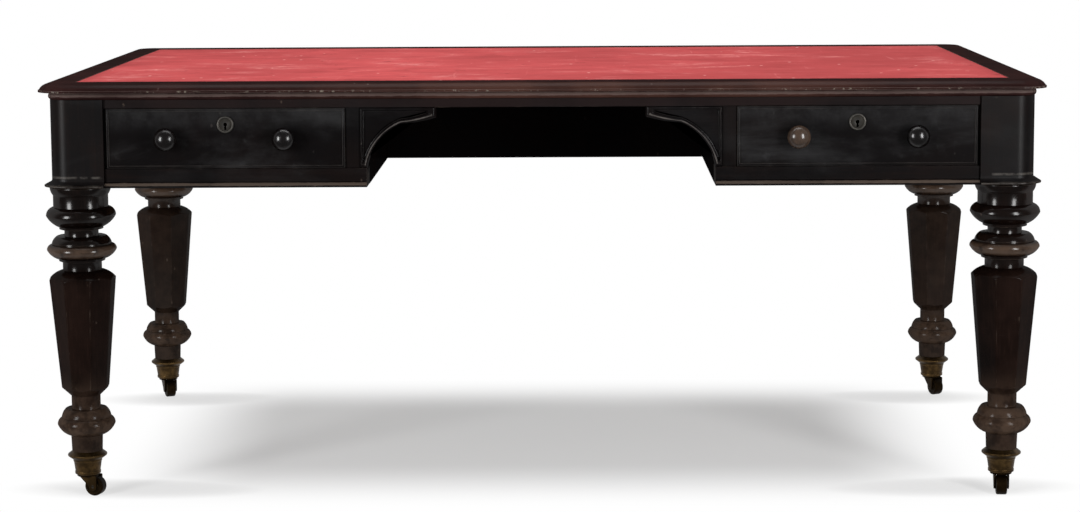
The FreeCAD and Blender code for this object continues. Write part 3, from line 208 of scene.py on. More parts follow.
class Shape:
    """Closed surfaces gathered for one mesh, with how worn each point is."""

    def __init__(self):
        self.points, self.wear, self.faces, self.finishes = [], [], [], []
        self.count = 0

    def add(self, points, wear=0.0, close_rows=False, finish=0):
        """Add rings of points, the first and last capped or joined, with faces turned to look outwards.

        The way round is told by the signed volume: the sum of the triple products of each face's corners."""
        rows, columns = points.shape[:2]
        flat = points.reshape(-1, 3)
        faces = quads(rows, columns, close_rows)
        a, b, c, d = np.moveaxis(flat[faces] - flat.mean(0), 1, 0)
        volume = (a * (np.cross(b, c) + np.cross(c, d))).sum()
        caps = []
        if not close_rows:
            caps = [np.arange(columns)[::-1], np.arange(columns) + (rows - 1) * columns]
            for cap in caps:
                rim = flat[cap] - flat.mean(0)
                volume += rim.mean(0) @ np.cross(rim, np.roll(rim, -1, axis=0)).sum(0)
        if volume < 0:
            faces = faces[:, ::-1]
            caps = [cap[::-1] for cap in caps]
        self.faces += (faces + self.count).tolist() + [(cap + self.count).tolist() for cap in caps]
        self.finishes.append(np.full(len(faces) + len(caps), finish, np.int32))
        self.points.append(flat)
        self.wear.append(np.broadcast_to(wear, (rows, columns)).reshape(-1))
        self.count += len(flat)

    def piece(self, name, finishes, body, slot, *replaced):
        """Make the piece with its finishes under its body and hide the nodes it replaces; slot is not used.
        """
        mesh = bpy.data.meshes.new(name)
        mesh.from_pydata(np.concatenate(self.points), [], self.faces)
        rubbed = mesh.attributes.new("wear", "FLOAT", "POINT")
        rubbed.data.foreach_set("value", np.concatenate(self.wear).astype(np.float32))
        mesh.polygons.foreach_set("use_smooth", np.ones(len(mesh.polygons), bool))
        mesh.set_sharp_from_angle(angle=math.radians(SHARP_EDGE))
        for finish in np.atleast_1d(finishes):
            mesh.materials.append(finish)
        mesh.polygons.foreach_set("material_index", np.concatenate(self.finishes))
        thing = placed(name, mesh)
        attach(thing, body)
        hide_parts(*replaced)
        return thing


def arc(centre, radius, start, end, count):
    """Points of a circle's arc between two angles in degrees: centre plus radius times cosine and sine."""
    turn = np.radians(np.linspace(start, end, count))
    return points_of(centre[0] + radius * np.cos(turn), centre[1] + radius * np.sin(turn))


def bow(start, end, sag, count):
    """A shallow curve between two points: the straight line moved to its left by a parabola."""
    t = np.linspace(0, 1, count)[:, None]
    start, end = np.asarray(start, float), np.asarray(end, float)
    across = np.array([start[1] - end[1], end[0] - start[0]])
    return start + (end - start) * t + across / np.linalg.norm(across) * sag * 4 * t * (1 - t)


def arc_radius(half_width, rise):
    """Radius of an arc from half its width and its rise: the sum of their squares over twice the rise."""
    return (half_width ** 2 + rise ** 2) / (2 * rise)


def crested(top_edge, widest, foot_edge, top, crest, foot, sag):
    """A turned ring from its top edge: a circle's arc out to the crest, then a bowed slope in to its foot."""
    rise, drop = widest - top_edge, top - crest
    radius = arc_radius(drop, rise)
    start = math.degrees(math.atan2(drop, top_edge - widest + radius))
    return joined(arc((widest - radius, crest), radius, start, 0, 15),
                  bow((widest, crest), (foot_edge, foot), sag, 12)[1:])


def joined(*parts):
    """One run of profile points from single points and runs."""
    return np.concatenate([np.atleast_2d(np.asarray(part, float)) for part in parts])


def soften(points, radius, closed=False, steps=5):
    """Round every corner of a profile: a quadratic curve from a little before it to a little after it."""
    before = np.roll(points, 1, axis=0) - points
    after = np.roll(points, -1, axis=0) - points
    most = 0.45  # share of a side that one corner's curve may take
    long_before = np.linalg.norm(before, axis=1, keepdims=True) + 1e-9
    long_after = np.linalg.norm(after, axis=1, keepdims=True) + 1e-9
    start = points + before / long_before * np.minimum(radius, most * long_before)
    end = points + after / long_after * np.minimum(radius, most * long_after)
    t = np.linspace(0, 1, steps)[None, :, None]
    curve = (1 - t) ** 2 * start[:, None] + 2 * t * (1 - t) * points[:, None] + t ** 2 * end[:, None]
    if closed:
        return curve.reshape(-1, 2)
    return np.concatenate([points[:1], curve[1:-1].reshape(-1, 2), points[-1:]])


def way_round(section):
    """One for a closed section drawn anticlockwise, minus one for clockwise: the sign of its area."""
    x, y = section.T
    return np.sign((x * np.roll(y, -1) - np.roll(x, -1) * y).sum())


def bending(points, near=0.9, far=4.0):
    """How sharply a closed section turns at each point, in -1 to 1: the turning angle over its length.

    Outward corners are positive. A radius of `near` mm counts as fully sharp and one of `far` mm as flat."""
    ahead = np.roll(points, -1, axis=0) - points
    behind = points - np.roll(points, 1, axis=0)
    cross = behind[:, 0] * ahead[:, 1] - behind[:, 1] * ahead[:, 0]
    dot = (behind * ahead).sum(1)
    length = (np.linalg.norm(ahead, axis=1) + np.linalg.norm(behind, axis=1)) / 2 + 1e-9
    curve = np.arctan2(cross, dot) / length
    sharp = np.clip((np.abs(curve) - 1 / far) / (1 / near - 1 / far), 0, 1)
    return np.sign(curve) * way_round(points) * sharp


def turned(profile, segments):
    """A turned form: a ring at each of the profile's radii and heights."""
    return ring_points(profile[:, 0, None], round_angles(segments), profile[:, 1, None])


def turned_wear(profile):
    """How worn each ring of a turned form is, told from its profile closed along the axis."""
    ends = np.array([[0, profile[-1, 1]], [0, profile[0, 1]]])
    return bending(np.concatenate([profile, ends]))[:len(profile), None]


def inset(section, distance):
    """A closed section drawn in by a distance along the mean normal of its neighbouring sides."""
    ahead = np.roll(section, -1, axis=0) - np.roll(section, 1, axis=0)
    normal = points_of(-ahead[:, 1], ahead[:, 0])
    normal /= np.linalg.norm(normal, axis=1, keepdims=True) + 1e-9
    return section + normal * distance * way_round(section)


def run(section, low, high, axis, arris):
    """A section carried straight along an axis from low to high, its ends eased over by a quarter round.

    Returns the grid of points and its wear; the section's two coordinates are the other axes, in order."""
    turn = np.radians([0, 30, 60, 90])
    along, drawn_in = arris * (1 - np.cos(turn)), arris * (1 - np.sin(turn))
    places = np.concatenate([low + along, [low + 4 * arris, high - 4 * arris], high - along[::-1]])
    insets = np.concatenate([drawn_in, [0, 0], drawn_in[::-1]])
    rows = np.stack([inset(section, distance) for distance in insets])
    points = np.insert(rows, [axis], np.broadcast_to(places[:, None, None], rows.shape[:2] + (1,)), axis=2)
    worn_end = (insets > 0).astype(float)[:, None]
    return points, np.maximum(bending(section)[None, :], worn_end)


def rectangle(low_x, high_x, low_y, high_y, arris):
    """A rectangle with corners rounded by the arris, and points a little way off so that wear stays there."""
    corners = np.array([[low_x, low_y], [high_x, low_y], [high_x, high_y], [low_x, high_y]], float)
    step = np.roll(corners, -1, axis=0) - corners
    step /= np.linalg.norm(step, axis=1, keepdims=True)
    longest, share = 3.0, 0.3
    reach = min(longest, share * min(high_x - low_x, high_y - low_y))
    before, after = corners - np.roll(step, 1, axis=0) * reach, corners + step * reach
    return soften(np.stack([before, corners, after], axis=1).reshape(-1, 2), arris, closed=True)


def bar(shape, low, high, axis, arris, place):
    """A straight board with eased edges between two corner points, mirrored by the signs in place."""
    others = [i for i in range(3) if i != axis]
    section = rectangle(low[others[0]], high[others[0]], low[others[1]], high[others[1]], arris)
    points, wear = run(section, low[axis], high[axis], axis, arris)
    shape.add(points * np.array(place) * MM, ARRIS_WEAR * wear)


def to_corner(corner):
    """Signs that carry a piece of the front right quarter to another quarter."""
    side_x, side_y = CORNERS[corner]
    return np.array([side_x, -side_y, 1])


# Finishes

class Value:
    """A shader socket that takes part in Python expressions: each operation adds a Math node."""

    def __init__(self, nodes, socket):
        self.nodes, self.socket = nodes, socket

    def math(self, operation, *values):
        node = self.nodes.node("ShaderNodeMath", {"operation": operation}, dict(enumerate(values)))
        return Value(self.nodes, node.outputs[0])

    def __add__(self, other):
        return self.math("ADD", self, other)

    __radd__ = __add__

    def __sub__(self, other):
        return self.math("SUBTRACT", self, other)

    def __rsub__(self, other):
        return self.math("SUBTRACT", other, self)

    def __mul__(self, other):
        return self.math("MULTIPLY", self, other)

    __rmul__ = __mul__

    def __truediv__(self, other):
        return self.math("DIVIDE", self, other)

    def __abs__(self):
        return self.math("ABSOLUTE", self)

    def maximum(self, other):
        return self.math("MAXIMUM", self, other)

    def minimum(self, other):
        return self.math("MINIMUM", self, other)

    def ramp(self, low, high, start=0.0, end=1.0):
        """Smooth step from start to end while the value goes from low to high."""
        sockets = {"Value": self, "From Min": low, "From Max": high, "To Min": start, "To Max": end}
        node = self.nodes.node("ShaderNodeMapRange", {"interpolation_type": "SMOOTHSTEP"}, sockets)
        return Value(self.nodes, node.outputs["Result"])

    def fall(self, low, high):
        """One below low, falling smoothly to nothing at high."""
        return 1 - self.ramp(low, high)

    def near(self, middle, full, gone):
        """One within `full` of a middle, falling smoothly to nothing at `gone` from it."""
        return abs(self - middle).fall(full, gone)


class Nodes:
    """The node tree of a material or of the world."""

    def __init__(self, owner):
        owner.use_nodes = True
        self.tree = owner.node_tree

    def first(self, kind):
        """A node that the tree came with."""
        return next(node for node in self.tree.nodes if node.type == kind)

    def node(self, kind, set_first=None, sockets=None):
        """Add any node: its settings first, then the values or links of its sockets."""
        node = self.tree.nodes.new(kind)
        for name, value in (set_first or {}).items():
            setattr(node, name, value)
        for name, value in (sockets or {}).items():
            value = value.socket if isinstance(value, Value) else value
            if isinstance(value, bpy.types.NodeSocket):
                self.tree.links.new(value, node.inputs[name])
            else:
                node.inputs[name].default_value = value
        return node

    def rays(self, kind, *others):
        """One for rays of any of these kinds, otherwise nothing."""
        path = self.node("ShaderNodeLightPath")
        found = Value(self, path.outputs[f"Is {kind} Ray"])
        for other in others:
            found = found.maximum(Value(self, path.outputs[f"Is {other} Ray"]))
        return found


class Finish(Nodes):
    """A material on one Principled shader, built from named parts."""

    def __init__(self, name, **constants):
        self.material = bpy.data.materials.new(name)
        super().__init__(self.material)
        self.shader = self.first("BSDF_PRINCIPLED")
        for socket, value in constants.items():
            self.shader.inputs[socket.replace("_", " ")].default_value = value
        self.place = self.node("ShaderNodeTexCoord").outputs["Object"]

    def scaled(self, x, y, z):
        """Object coordinates stretched by a factor along each axis."""
        node = self.node("ShaderNodeVectorMath", {"operation": "MULTIPLY"}, {0: self.place, 1: (x, y, z)})
        return node.outputs[0]

    def axis(self, name):
        node = self.node("ShaderNodeSeparateXYZ", sockets={0: self.place})
        return Value(self, node.outputs[name])

    def noise(self, vector, scale, detail=3.0, roughness=0.55, distortion=0.0):
        node = self.node("ShaderNodeTexNoise", sockets={"Vector": vector, "Scale": scale, "Detail": detail,
                                                        "Roughness": roughness, "Distortion": distortion})
        return Value(self, node.outputs[0])

    def cells(self, vector, scale, feature="F1"):
        node = self.node("ShaderNodeTexVoronoi", {"feature": feature}, {"Vector": vector, "Scale": scale})
        return Value(self, node.outputs["Distance"])

    def worn(self):
        """How sharp the surface's own edges are, as the piece's mesh says; hollows are negative."""
        return Value(self, self.node("ShaderNodeAttribute", {"attribute_name": "wear"}).outputs["Fac"])

    def mix(self, factor, first, second):
        """Blend two colours."""
        sockets = {0: factor, 6: opaque(first), 7: opaque(second)}
        return self.node("ShaderNodeMix", {"data_type": "RGBA"}, sockets).outputs[2]

    def bump(self, height, strength, distance):
        sockets = {"Height": height, "Strength": strength, "Distance": distance}
        return self.node("ShaderNodeBump", sockets=sockets).outputs["Normal"]

    def feed(self, **sockets):
        """Lead values into the shader and give the finished material back."""
        for name, value in sockets.items():
            value = value.socket if isinstance(value, Value) else value
            self.tree.links.new(value, self.shader.inputs[name.replace("_", " ")])
        return self.material


def opaque(colour):
    """A colour as the four numbers that a colour socket takes."""
    if isinstance(colour, (Value, bpy.types.NodeSocket)):
        return colour
    return (*tuple(colour)[:3], 1.0)


def shade(colour, factor):
    """A colour made darker or lighter by a factor."""
    return tuple(min(1.0, part * factor) for part in tuple(colour)[:3])


# Scale of the wood's pattern along x, y and z: drawn out along the grain and fine across it
GRAIN = {"x": (2.2, 60, 60), "y": (60, 2.2, 60), "z": (60, 60, 2.2)}


def grain_place(finish, grain):
    """Object coordinates drawn out along the grain; in a mitred frame the grain turns at the mitres."""
    if grain != "mitred":
        return finish.scaled(*GRAIN[grain]), None
    past = abs(finish.axis("X")) - abs(finish.axis("Y")) - (HALF_LENGTH - HALF_DEPTH) * MM
    sockets = {0: past.ramp(-0.0002, 0.0002), 4: finish.scaled(*GRAIN["x"]), 5: finish.scaled(*GRAIN["y"])}
    node = finish.node("ShaderNodeMix", {"data_type": "VECTOR"}, sockets)
    return node.outputs[1], abs(past).fall(0.0004, 0.0014)


def bead_wear(finish):
    """Wear of a drawer front, told by place: the arrises of its cock bead, near the edges of the front."""
    across = DRAWER_HALF * MM - abs(abs(finish.axis("X")) - OPENING_MIDDLE * MM)
    upright = (DRAWER_HIGH - DRAWER_LOW) / 2 * MM - abs(finish.axis("Z") - KNOB_Z * MM)
    inwards, bead = across.minimum(upright), 0.0046
    return inwards.fall(0.0003, 0.0016).maximum(inwards.near(bead, 0.0002, 0.0016) * 0.85)


def polished_wood(name, tone, under, worn, grain, bloom_and_sheen=None, polish=0.02, rub=0.7, show=0.35, spread=0.5,
                  soft=0.2, edge_of=Finish.worn, tint=None, gloss_of=None):
    """Stained and polished wood: long grain, patches where the stain is thin, rubbed arrises, dusty hollows.

    tone is the stain, under the brown that shows through by the share `show`, worn the rubbed wood, which on
    some beads also paints a highlight; polish is the strength of the clear coat, soft its roughness, spread
    the share of old bloom and painted sheen in it. edge_of tells the wear by place, tint changes the colour
    by place and gloss_of the coat. The finish keeps its clouds and its patches of rubbing for the tint."""
    finish = Finish(name, Specular_IOR_Level=0.0, Coat_IOR=2.4, Coat_Roughness=soft)
    along, joint = grain_place(finish, grain)
    fibre = finish.noise(along, 4.0, 6.0, 0.62, 0.25)
    pores = finish.noise(along, 17.0, 2.0, 0.5)
    finish.cloud = cloud = finish.noise(finish.place, 5.5, 4.0, 0.6)
    broad = finish.noise(finish.scaled(0.45, 0.45, 1.3), 7.5, 6.0, 0.65, 0.4)
    finish.rubbing = rubbing = finish.noise(finish.place, 34.0, 5.0, 0.65)
    thin_stain = (cloud.ramp(0.40, 0.66) * 0.75 + fibre.ramp(0.45, 0.75) * 0.45) * show
    colour = finish.mix(thin_stain.minimum(1.0), tone, under)
    if bloom_and_sheen is not None:
        # bloom and painted sheen: soft lighter patches of the bluish colour that stand in for reflections
        bloom = broad.ramp(0.44, 0.70) + rubbing.ramp(0.56, 0.76) * broad.ramp(0.36, 0.56) * 0.6
        colour = finish.mix((bloom * (0.55 + fibre * 0.5) * spread).minimum(1.0), colour, bloom_and_sheen)
    if tint is not None:
        colour = tint(finish, colour)
    edge = edge_of(finish)
    rubbed = (edge.maximum(0.0) * 0.9 + rubbing - 0.86).ramp(0.0, 0.42)
    rubbed = rubbed * cloud.ramp(0.26, 0.50, 0.35, 1.0) * rub
    colour = finish.mix(rubbed, colour, worn)
    hollow = (edge.minimum(0.0) * -1.0) * rubbing.ramp(0.30, 0.6) * 0.16
    colour = finish.mix(hollow, colour, (0.060, 0.054, 0.048))
    scratch = finish.noise(finish.scaled(9, 9, 230), 5.0, 2.0, 0.5).ramp(0.72, 0.80)
    scratch = scratch * rubbing.ramp(0.48, 0.70)
    nick = finish.cells(finish.scaled(1, 1, 0.6), 44.0).fall(0.06, 0.12) * rubbing.ramp(0.50, 0.60)
    colour = finish.mix(scratch * 0.22, colour, worn)
    colour = finish.mix(nick * rub * 0.5, colour, shade(worn, 1.5))
    if joint is not None:
        colour = finish.mix(joint * 0.8, colour, shade(tone, 0.3))
    coat = (polish * (1.15 - cloud.ramp(0.3, 0.7) * 0.35) - rubbed * polish * 0.6).maximum(0.0)
    if gloss_of is not None:
        coat = coat * gloss_of(finish)
    height = fibre * 0.5 + pores * 0.35 + rubbing * 0.25 - scratch * 0.6 - nick
    return finish.feed(Base_Color=colour, Roughness=0.5 + rubbed * 0.2 + pores * 0.05, Coat_Weight=coat,
                       Normal=finish.bump(height, 0.22, 0.0006))


def leg_tint(finish, colour):
    """Browner on the second ring, wear and painted highlight; dusty towards the foot; back pair greyer as
    painted light.
    """
    height = finish.axis("Z")
    ring_foot, ring_head, ease, neck_head = 0.448, 0.474, 0.008, 0.120
    # the second ring is browned partly as wear and partly as a painted highlight
    ring = height.ramp(ring_foot, ring_foot + ease) * height.fall(ring_head - ease, ring_head)
    ring = ring * finish.rubbing.ramp(0.22, 0.56)
    dusty = height.fall(0.10, 0.25) * height.ramp(neck_head - ease, neck_head, 0.40, 1.0)
    dusty = dusty * (0.32 + finish.rubbing.ramp(0.34, 0.58) * 0.68)
    # painted light: the back pair of legs painted a little greyer and lighter
    back = finish.axis("Y").ramp(0.0, 0.1) * (0.10 + finish.rubbing.ramp(0.35, 0.65) * 0.10)
    return finish.mix(dusty.maximum(ring * 0.85).maximum(back), colour, tuple(settings().finish.dust_and_painted_light))


def leg_gloss(finish):
    """The upper rings keep their full polish; the eight flats and the foot have lost most of it."""
    worn_gloss, shaft_head, ease = 0.28, 0.420, 0.016
    return worn_gloss + finish.axis("Z").ramp(shaft_head, shaft_head + ease) * (1 - worn_gloss)


def collar_tint(finish, colour):
    """Rubbed lines on the collar at the block's foot: where the hollow begins and along the lip."""
    height, hollow, lip = finish.axis("Z"), 0.5985, 0.5835
    line = height.near(hollow, 0.0008, 0.0032).maximum(height.near(lip, 0.0006, 0.0024))
    return finish.mix(line * finish.rubbing.ramp(0.44, 0.62) * 0.7, colour, (0.074, 0.067, 0.060))


def frieze_tint(finish, colour):
    """The thin top rail is browner than the rest of the frieze."""
    rail = finish.axis("Z").ramp((TOP_RAIL_BOTTOM - 2) * MM, (TOP_RAIL_BOTTOM + 3) * MM)
    rail = rail * (0.35 + finish.cloud.ramp(0.3, 0.6) * 0.5)
    return finish.mix(rail, colour, (0.0145, 0.0092, 0.0090))


def below_flat(finish):
    """One on the border's moulded edge and nothing on its flat."""
    return finish.axis("Z").fall((TABLE_HEIGHT - 1.5) * MM, (TABLE_HEIGHT - 0.3) * MM)


def edge_gloss(finish):
    """The moulded edge of the border is more polished than its flat."""
    return 1 + 0.9 * below_flat(finish)


def edge_tint(finish, colour):
    """Small chips in patches along the nose of the border's edge, and a warmer colour along its middle."""
    middle = finish.axis("X").near(0.12, 0.15, 0.70) * below_flat(finish)
    colour = finish.mix(middle * (0.25 + finish.cloud.ramp(0.3, 0.6) * 0.45), colour, (0.060, 0.027, 0.020))
    nose = finish.axis("Z").near(NOSE_LINE * MM, 0.0016, 0.0036)
    chips = finish.noise(finish.place, 150.0, 3.0, 0.6).ramp(0.56, 0.66) * finish.cloud.ramp(0.40, 0.56)
    return finish.mix(nose * chips * 0.85, colour, (0.150, 0.128, 0.104))


def drawer_tint(finish, colour):
    """A painted sheen lightens the top of a drawer front; its back, inside the drawer, is bare wood."""
    # painted sheen: the top band of the front is lightened towards the bluish polish colour
    upper = finish.axis("Z").ramp((KNOB_Z + 3) * MM, (KNOB_Z + 47) * MM)
    painted_top_sheen = upper * (0.20 + finish.rubbing.ramp(0.35, 0.65) * 0.35)
    colour = finish.mix(painted_top_sheen, colour, tuple(settings().finish.bloom_and_sheen))
    inside = abs(finish.axis("Y")).fall(DRAWER_BACK * MM, (DRAWER_BACK + 1.5) * MM)
    bare = finish.mix(finish.cloud.ramp(0.35, 0.65), (0.20, 0.095, 0.046), (0.12, 0.052, 0.025))
    return finish.mix(inside, colour, bare)


def knob_tint(finish, colour):
    """The front right drawer's inner knob is a browner one."""
    middle, reach, ease = (OPENING_MIDDLE - KNOB_REACH) * MM, 0.024, 0.004
    brown_one = finish.axis("X").near(middle, reach, reach + ease) * finish.axis("Y").fall(-0.02, 0.02)
    patchy = 0.30 + finish.rubbing.ramp(0.30, 0.65) * 0.55
    return finish.mix(brown_one * patchy, colour, tuple(settings().finish.dust_and_painted_light))


def bare_wood(name, light, dark, grain, roughness=0.62):
    """Unpolished inside wood: growth bands, fine pores and a little grime."""
    finish = Finish(name, Specular_IOR_Level=0.25)
    along = finish.scaled(*GRAIN[grain])
    bands = finish.noise(along, 0.9, 4.0, 0.6, 0.8)
    fibre = finish.noise(along, 9.0, 5.0, 0.6)
    grime = finish.noise(finish.place, 7.0, 5.0, 0.6)
    colour = finish.mix((bands.ramp(0.3, 0.7) * 0.6 + fibre.ramp(0.4, 0.7) * 0.4), light, dark)
    colour = finish.mix(grime.ramp(0.52, 0.78) * 0.5, colour, shade(dark, 0.45))
    return finish.feed(Base_Color=colour, Roughness=roughness + fibre * 0.15,
                       Normal=finish.bump(fibre + bands * 0.4, 0.3, 0.0005))


def old_brass(name, bright, film, shine=0.34, film_share=0.75):
    """Cast brass under an uneven dark film, rubbed brighter at its edges, with brown dirt in its hollows."""
    finish = Finish(name, Metallic=1.0)
    blotch = finish.noise(finish.place, 60.0, 5.0, 0.62)
    fine = finish.noise(finish.place, 420.0, 3.0, 0.6)
    edge = finish.worn()
    covered = blotch.ramp(0.30, 0.62) * 0.45 + film_share * 0.7 - edge.maximum(0.0) * 0.55
    covered = covered.minimum(1.0).maximum(0.0)
    colour = finish.mix(covered, bright, film)
    dirt = (edge.minimum(0.0) * -1.0) * 0.7
    colour = finish.mix(dirt, colour, (0.018, 0.014, 0.008))
    return finish.feed(Base_Color=colour, Roughness=shine + covered * 0.20 + fine * 0.10,
                       Normal=finish.bump(blotch * 0.6 + fine * 0.3, 0.25, 0.0006))


def writing_leather(name, colour, scuff):
    """Old dyed hide: pebbled grain, slow changes of tone, painted shade to the right, rubbed pale marks,
    scratches and a darker rim.
    """
    finish = Finish(name, Specular_IOR_Level=0.0, Coat_Roughness=0.42)
    slow = finish.noise(finish.place, 2.3, 4.0, 0.6)
    patch = finish.noise(finish.scaled(0.7, 1.2, 1), 8.0, 7.0, 0.68, 0.5)
    mottle = finish.noise(finish.place, 46.0, 5.0, 0.65)
    pebble = finish.cells(finish.place, 780.0, "SMOOTH_F1")
    flecks = finish.cells(finish.scaled(1.0, 0.55, 1), 19.0)
    lines = finish.noise(finish.scaled(3.0, 60.0, 1), 1.6, 3.0, 0.55, 0.6)
    crossing = finish.noise(finish.scaled(48.0, 5.0, 1), 1.1, 3.0, 0.55, 0.8)
    tone = finish.mix(slow.ramp(0.34, 0.66), shade(colour, 0.88), shade(colour, 1.14))
    tone = finish.mix(patch.fall(0.30, 0.52) * 0.65, tone, shade(colour, 0.66))
    # painted shade: the leather darkens towards the right
    tone = finish.mix(finish.axis("X").ramp(-0.75, 0.85) * 0.30, tone, shade(colour, 0.66))
    tone = finish.mix(mottle.ramp(0.45, 0.75) * 0.35, tone, shade(colour, 0.74))
    stain = finish.noise(finish.scaled(1.0, 0.8, 1), 21.0, 5.0, 0.62, 0.4).ramp(0.61, 0.70)
    tone = finish.mix(stain * slow.ramp(0.36, 0.6) * 0.75, tone, shade(colour, 0.48))
    rubbed = patch.ramp(0.52, 0.70) * mottle.ramp(0.32, 0.60)
    tone = finish.mix(rubbed * 0.75, tone, scuff)
    scored = (lines.ramp(0.62, 0.70) + crossing.ramp(0.66, 0.74)).minimum(1.0) * patch.ramp(0.38, 0.58)
    tone = finish.mix(scored * 0.30, tone, scuff)
    marks = flecks.fall(0.03, 0.09) * mottle.ramp(0.42, 0.52)
    tone = finish.mix(marks * 0.7, tone, (0.80, 0.46, 0.42))
    past_x, past_y = abs(finish.axis("X")) - LEATHER_X * MM, abs(finish.axis("Y")) - LEATHER_Y * MM
    rim = past_x.maximum(past_y).ramp(-0.026, -0.002)
    tone = finish.mix(rim * 0.35, tone, shade(colour, 0.66))
    roughness = 0.50 + mottle * 0.12 - rubbed * 0.08
    grain = finish.bump(pebble * 0.8 + mottle * 0.4 - scored * 0.5, 0.22, 0.0006)
    return finish.feed(Base_Color=tone, Roughness=roughness, Coat_Weight=0.03 + rubbed * 0.04, Normal=grain)


FINISHES = {}


def wood_settings(look):
    """What tells the polished woods apart; the names are those of polished_wood."""
    black, brown, worn = tuple(look.black), tuple(look.brown), tuple(look.worn)
    red_brown, rub = tuple(look.red_brown), look.wear
    ebonised = {"tone": black, "under": shade(brown, 0.5), "worn": worn, "bloom_and_sheen": tuple(look.bloom_and_sheen)}
    plain = {**ebonised, "tone": shade(black, 0.6), "bloom_and_sheen": None}
    return {
        "frieze": {**ebonised, "under": shade(brown, 0.7), "polish": 0.040, "rub": 0.75 * rub, "show": 0.30,
                   "spread": 0.30, "soft": 0.30, "tint": frieze_tint},
        "block": {**ebonised, "under": shade(brown, 0.6), "polish": 0.047, "rub": 0.65 * rub, "show": 0.50,
                  "spread": 0.30, "soft": 0.36, "tint": collar_tint},
        # The brackets' worn grey is made lighter to paint a highlight along their beads as well as their wear
        "bracket": {**ebonised, "worn": shade(GREY_WEAR_AND_HIGHLIGHT, 1.9), "polish": 0.040, "rub": 0.80 * rub,
                    "show": 0.25, "spread": 0.25, "soft": 0.22},
        "drawer front": {**ebonised, "worn": GREY_WEAR_AND_HIGHLIGHT, "polish": 0.036, "rub": 0.42 * rub, "show": 0.20,
                         "spread": 0.85, "soft": 0.28, "edge_of": bead_wear, "tint": drawer_tint},
        "cheek": {**plain, "under": shade(brown, 0.3), "polish": 0.002, "rub": 0.1, "show": 0.2},
        "knob": {**plain, "polish": 0.25, "rub": 0.2, "show": 0.2, "soft": 0.23, "tint": knob_tint},
        "leg": {"tone": shade(brown, 0.12), "under": shade(brown, 0.72), "worn": worn, "polish": 0.125,
                "rub": 0.58 * rub, "show": 0.65, "soft": 0.17, "tint": leg_tint, "gloss_of": leg_gloss},
        # The border's worn colour also paints the highlight along its bead
        "border": {"tone": red_brown, "under": shade(red_brown, 2.6), "worn": EDGE_WEAR_AND_HIGHLIGHT, "polish": 0.012,
                   "rub": 0.95 * rub, "show": 0.70, "soft": 0.22, "tint": edge_tint, "gloss_of": edge_gloss},
    }


def finish_of(key):
    """The finish of that name, made the first time that it is asked for; after a colon comes its grain."""
    if key in FINISHES:
        return FINISHES[key]
    look = settings().finish
    brass, tarnish = tuple(look.brass), tuple(look.tarnish)
    kind, grain = (key.split(":") + ["x"])[:2]
    name = f"{kind} {grain}"
    woods = wood_settings(look)
    bare = {"drawer lining": ((0.27, 0.135, 0.068), (0.13, 0.055, 0.026), grain),
            "carcase": ((0.20, 0.125, 0.070), (0.105, 0.060, 0.032), grain, 0.72)}
    metals = {"cup brass": (brass, tarnish, 0.32),
              "caster brass": (shade(brass, 0.17), shade(tarnish, 0.35), 0.40, 0.95),
              "lock brass": (shade(brass, 0.30), shade(tarnish, 0.25), 0.40, 0.9),
              "plate metal": ((0.110, 0.103, 0.092), (0.046, 0.044, 0.041), 0.42, 0.8),
              "axle steel": ((0.20, 0.19, 0.18), (0.06, 0.05, 0.042), 0.40, 0.6)}
    if kind in woods:
        FINISHES[key] = polished_wood(name, grain=grain, **woods[kind])
    elif kind in bare:
        FINISHES[key] = bare_wood(name, *bare[kind])
    elif kind in metals:
        FINISHES[key] = old_brass(kind, *metals[kind])
    else:
        FINISHES[key] = writing_leather(kind, look.leather, look.scuff)
    return FINISHES[key]


def dress(node, key):
    """Give a CAD node that keeps its own shape its finish."""
    thing = NODES[node]
    if not thing.material_slots:
        thing.data.materials.append(finish_of(key))
    for slot in thing.material_slots:
        slot.material = finish_of(key)


# Pieces

def ring_path(distance):
    """Plan of the top at distances in from its nose: quarter circles joined by straight sides, anticlockwise.

    The corner's radius is the top's own less the distance, and never quite nothing."""
    radius = np.maximum(TOP_CORNER - distance, 0.6)
    centre = points_of(HALF_LENGTH - distance - radius, HALF_DEPTH - distance - radius)
    turn = np.radians(np.linspace(0, 90, 13))
    bends = []
    for quarter, signs in enumerate([(1, 1), (-1, 1), (-1, -1), (1, -1)]):
        angle = turn + quarter * math.pi / 2
        outwards = points_of(np.cos(angle), np.sin(angle))
        bends.append((centre * signs)[:, None] + radius[:, None, None] * outwards)
    t = np.linspace(0, 1, 14, endpoint=False)[1:, None]
    sides = []
    for bend, following in zip(bends, bends[1:] + bends[:1]):
        begin, end = bend[:, -1:], following[:, :1]
        sides += [bend, begin + (end - begin) * t]
    return np.concatenate(sides, axis=1)


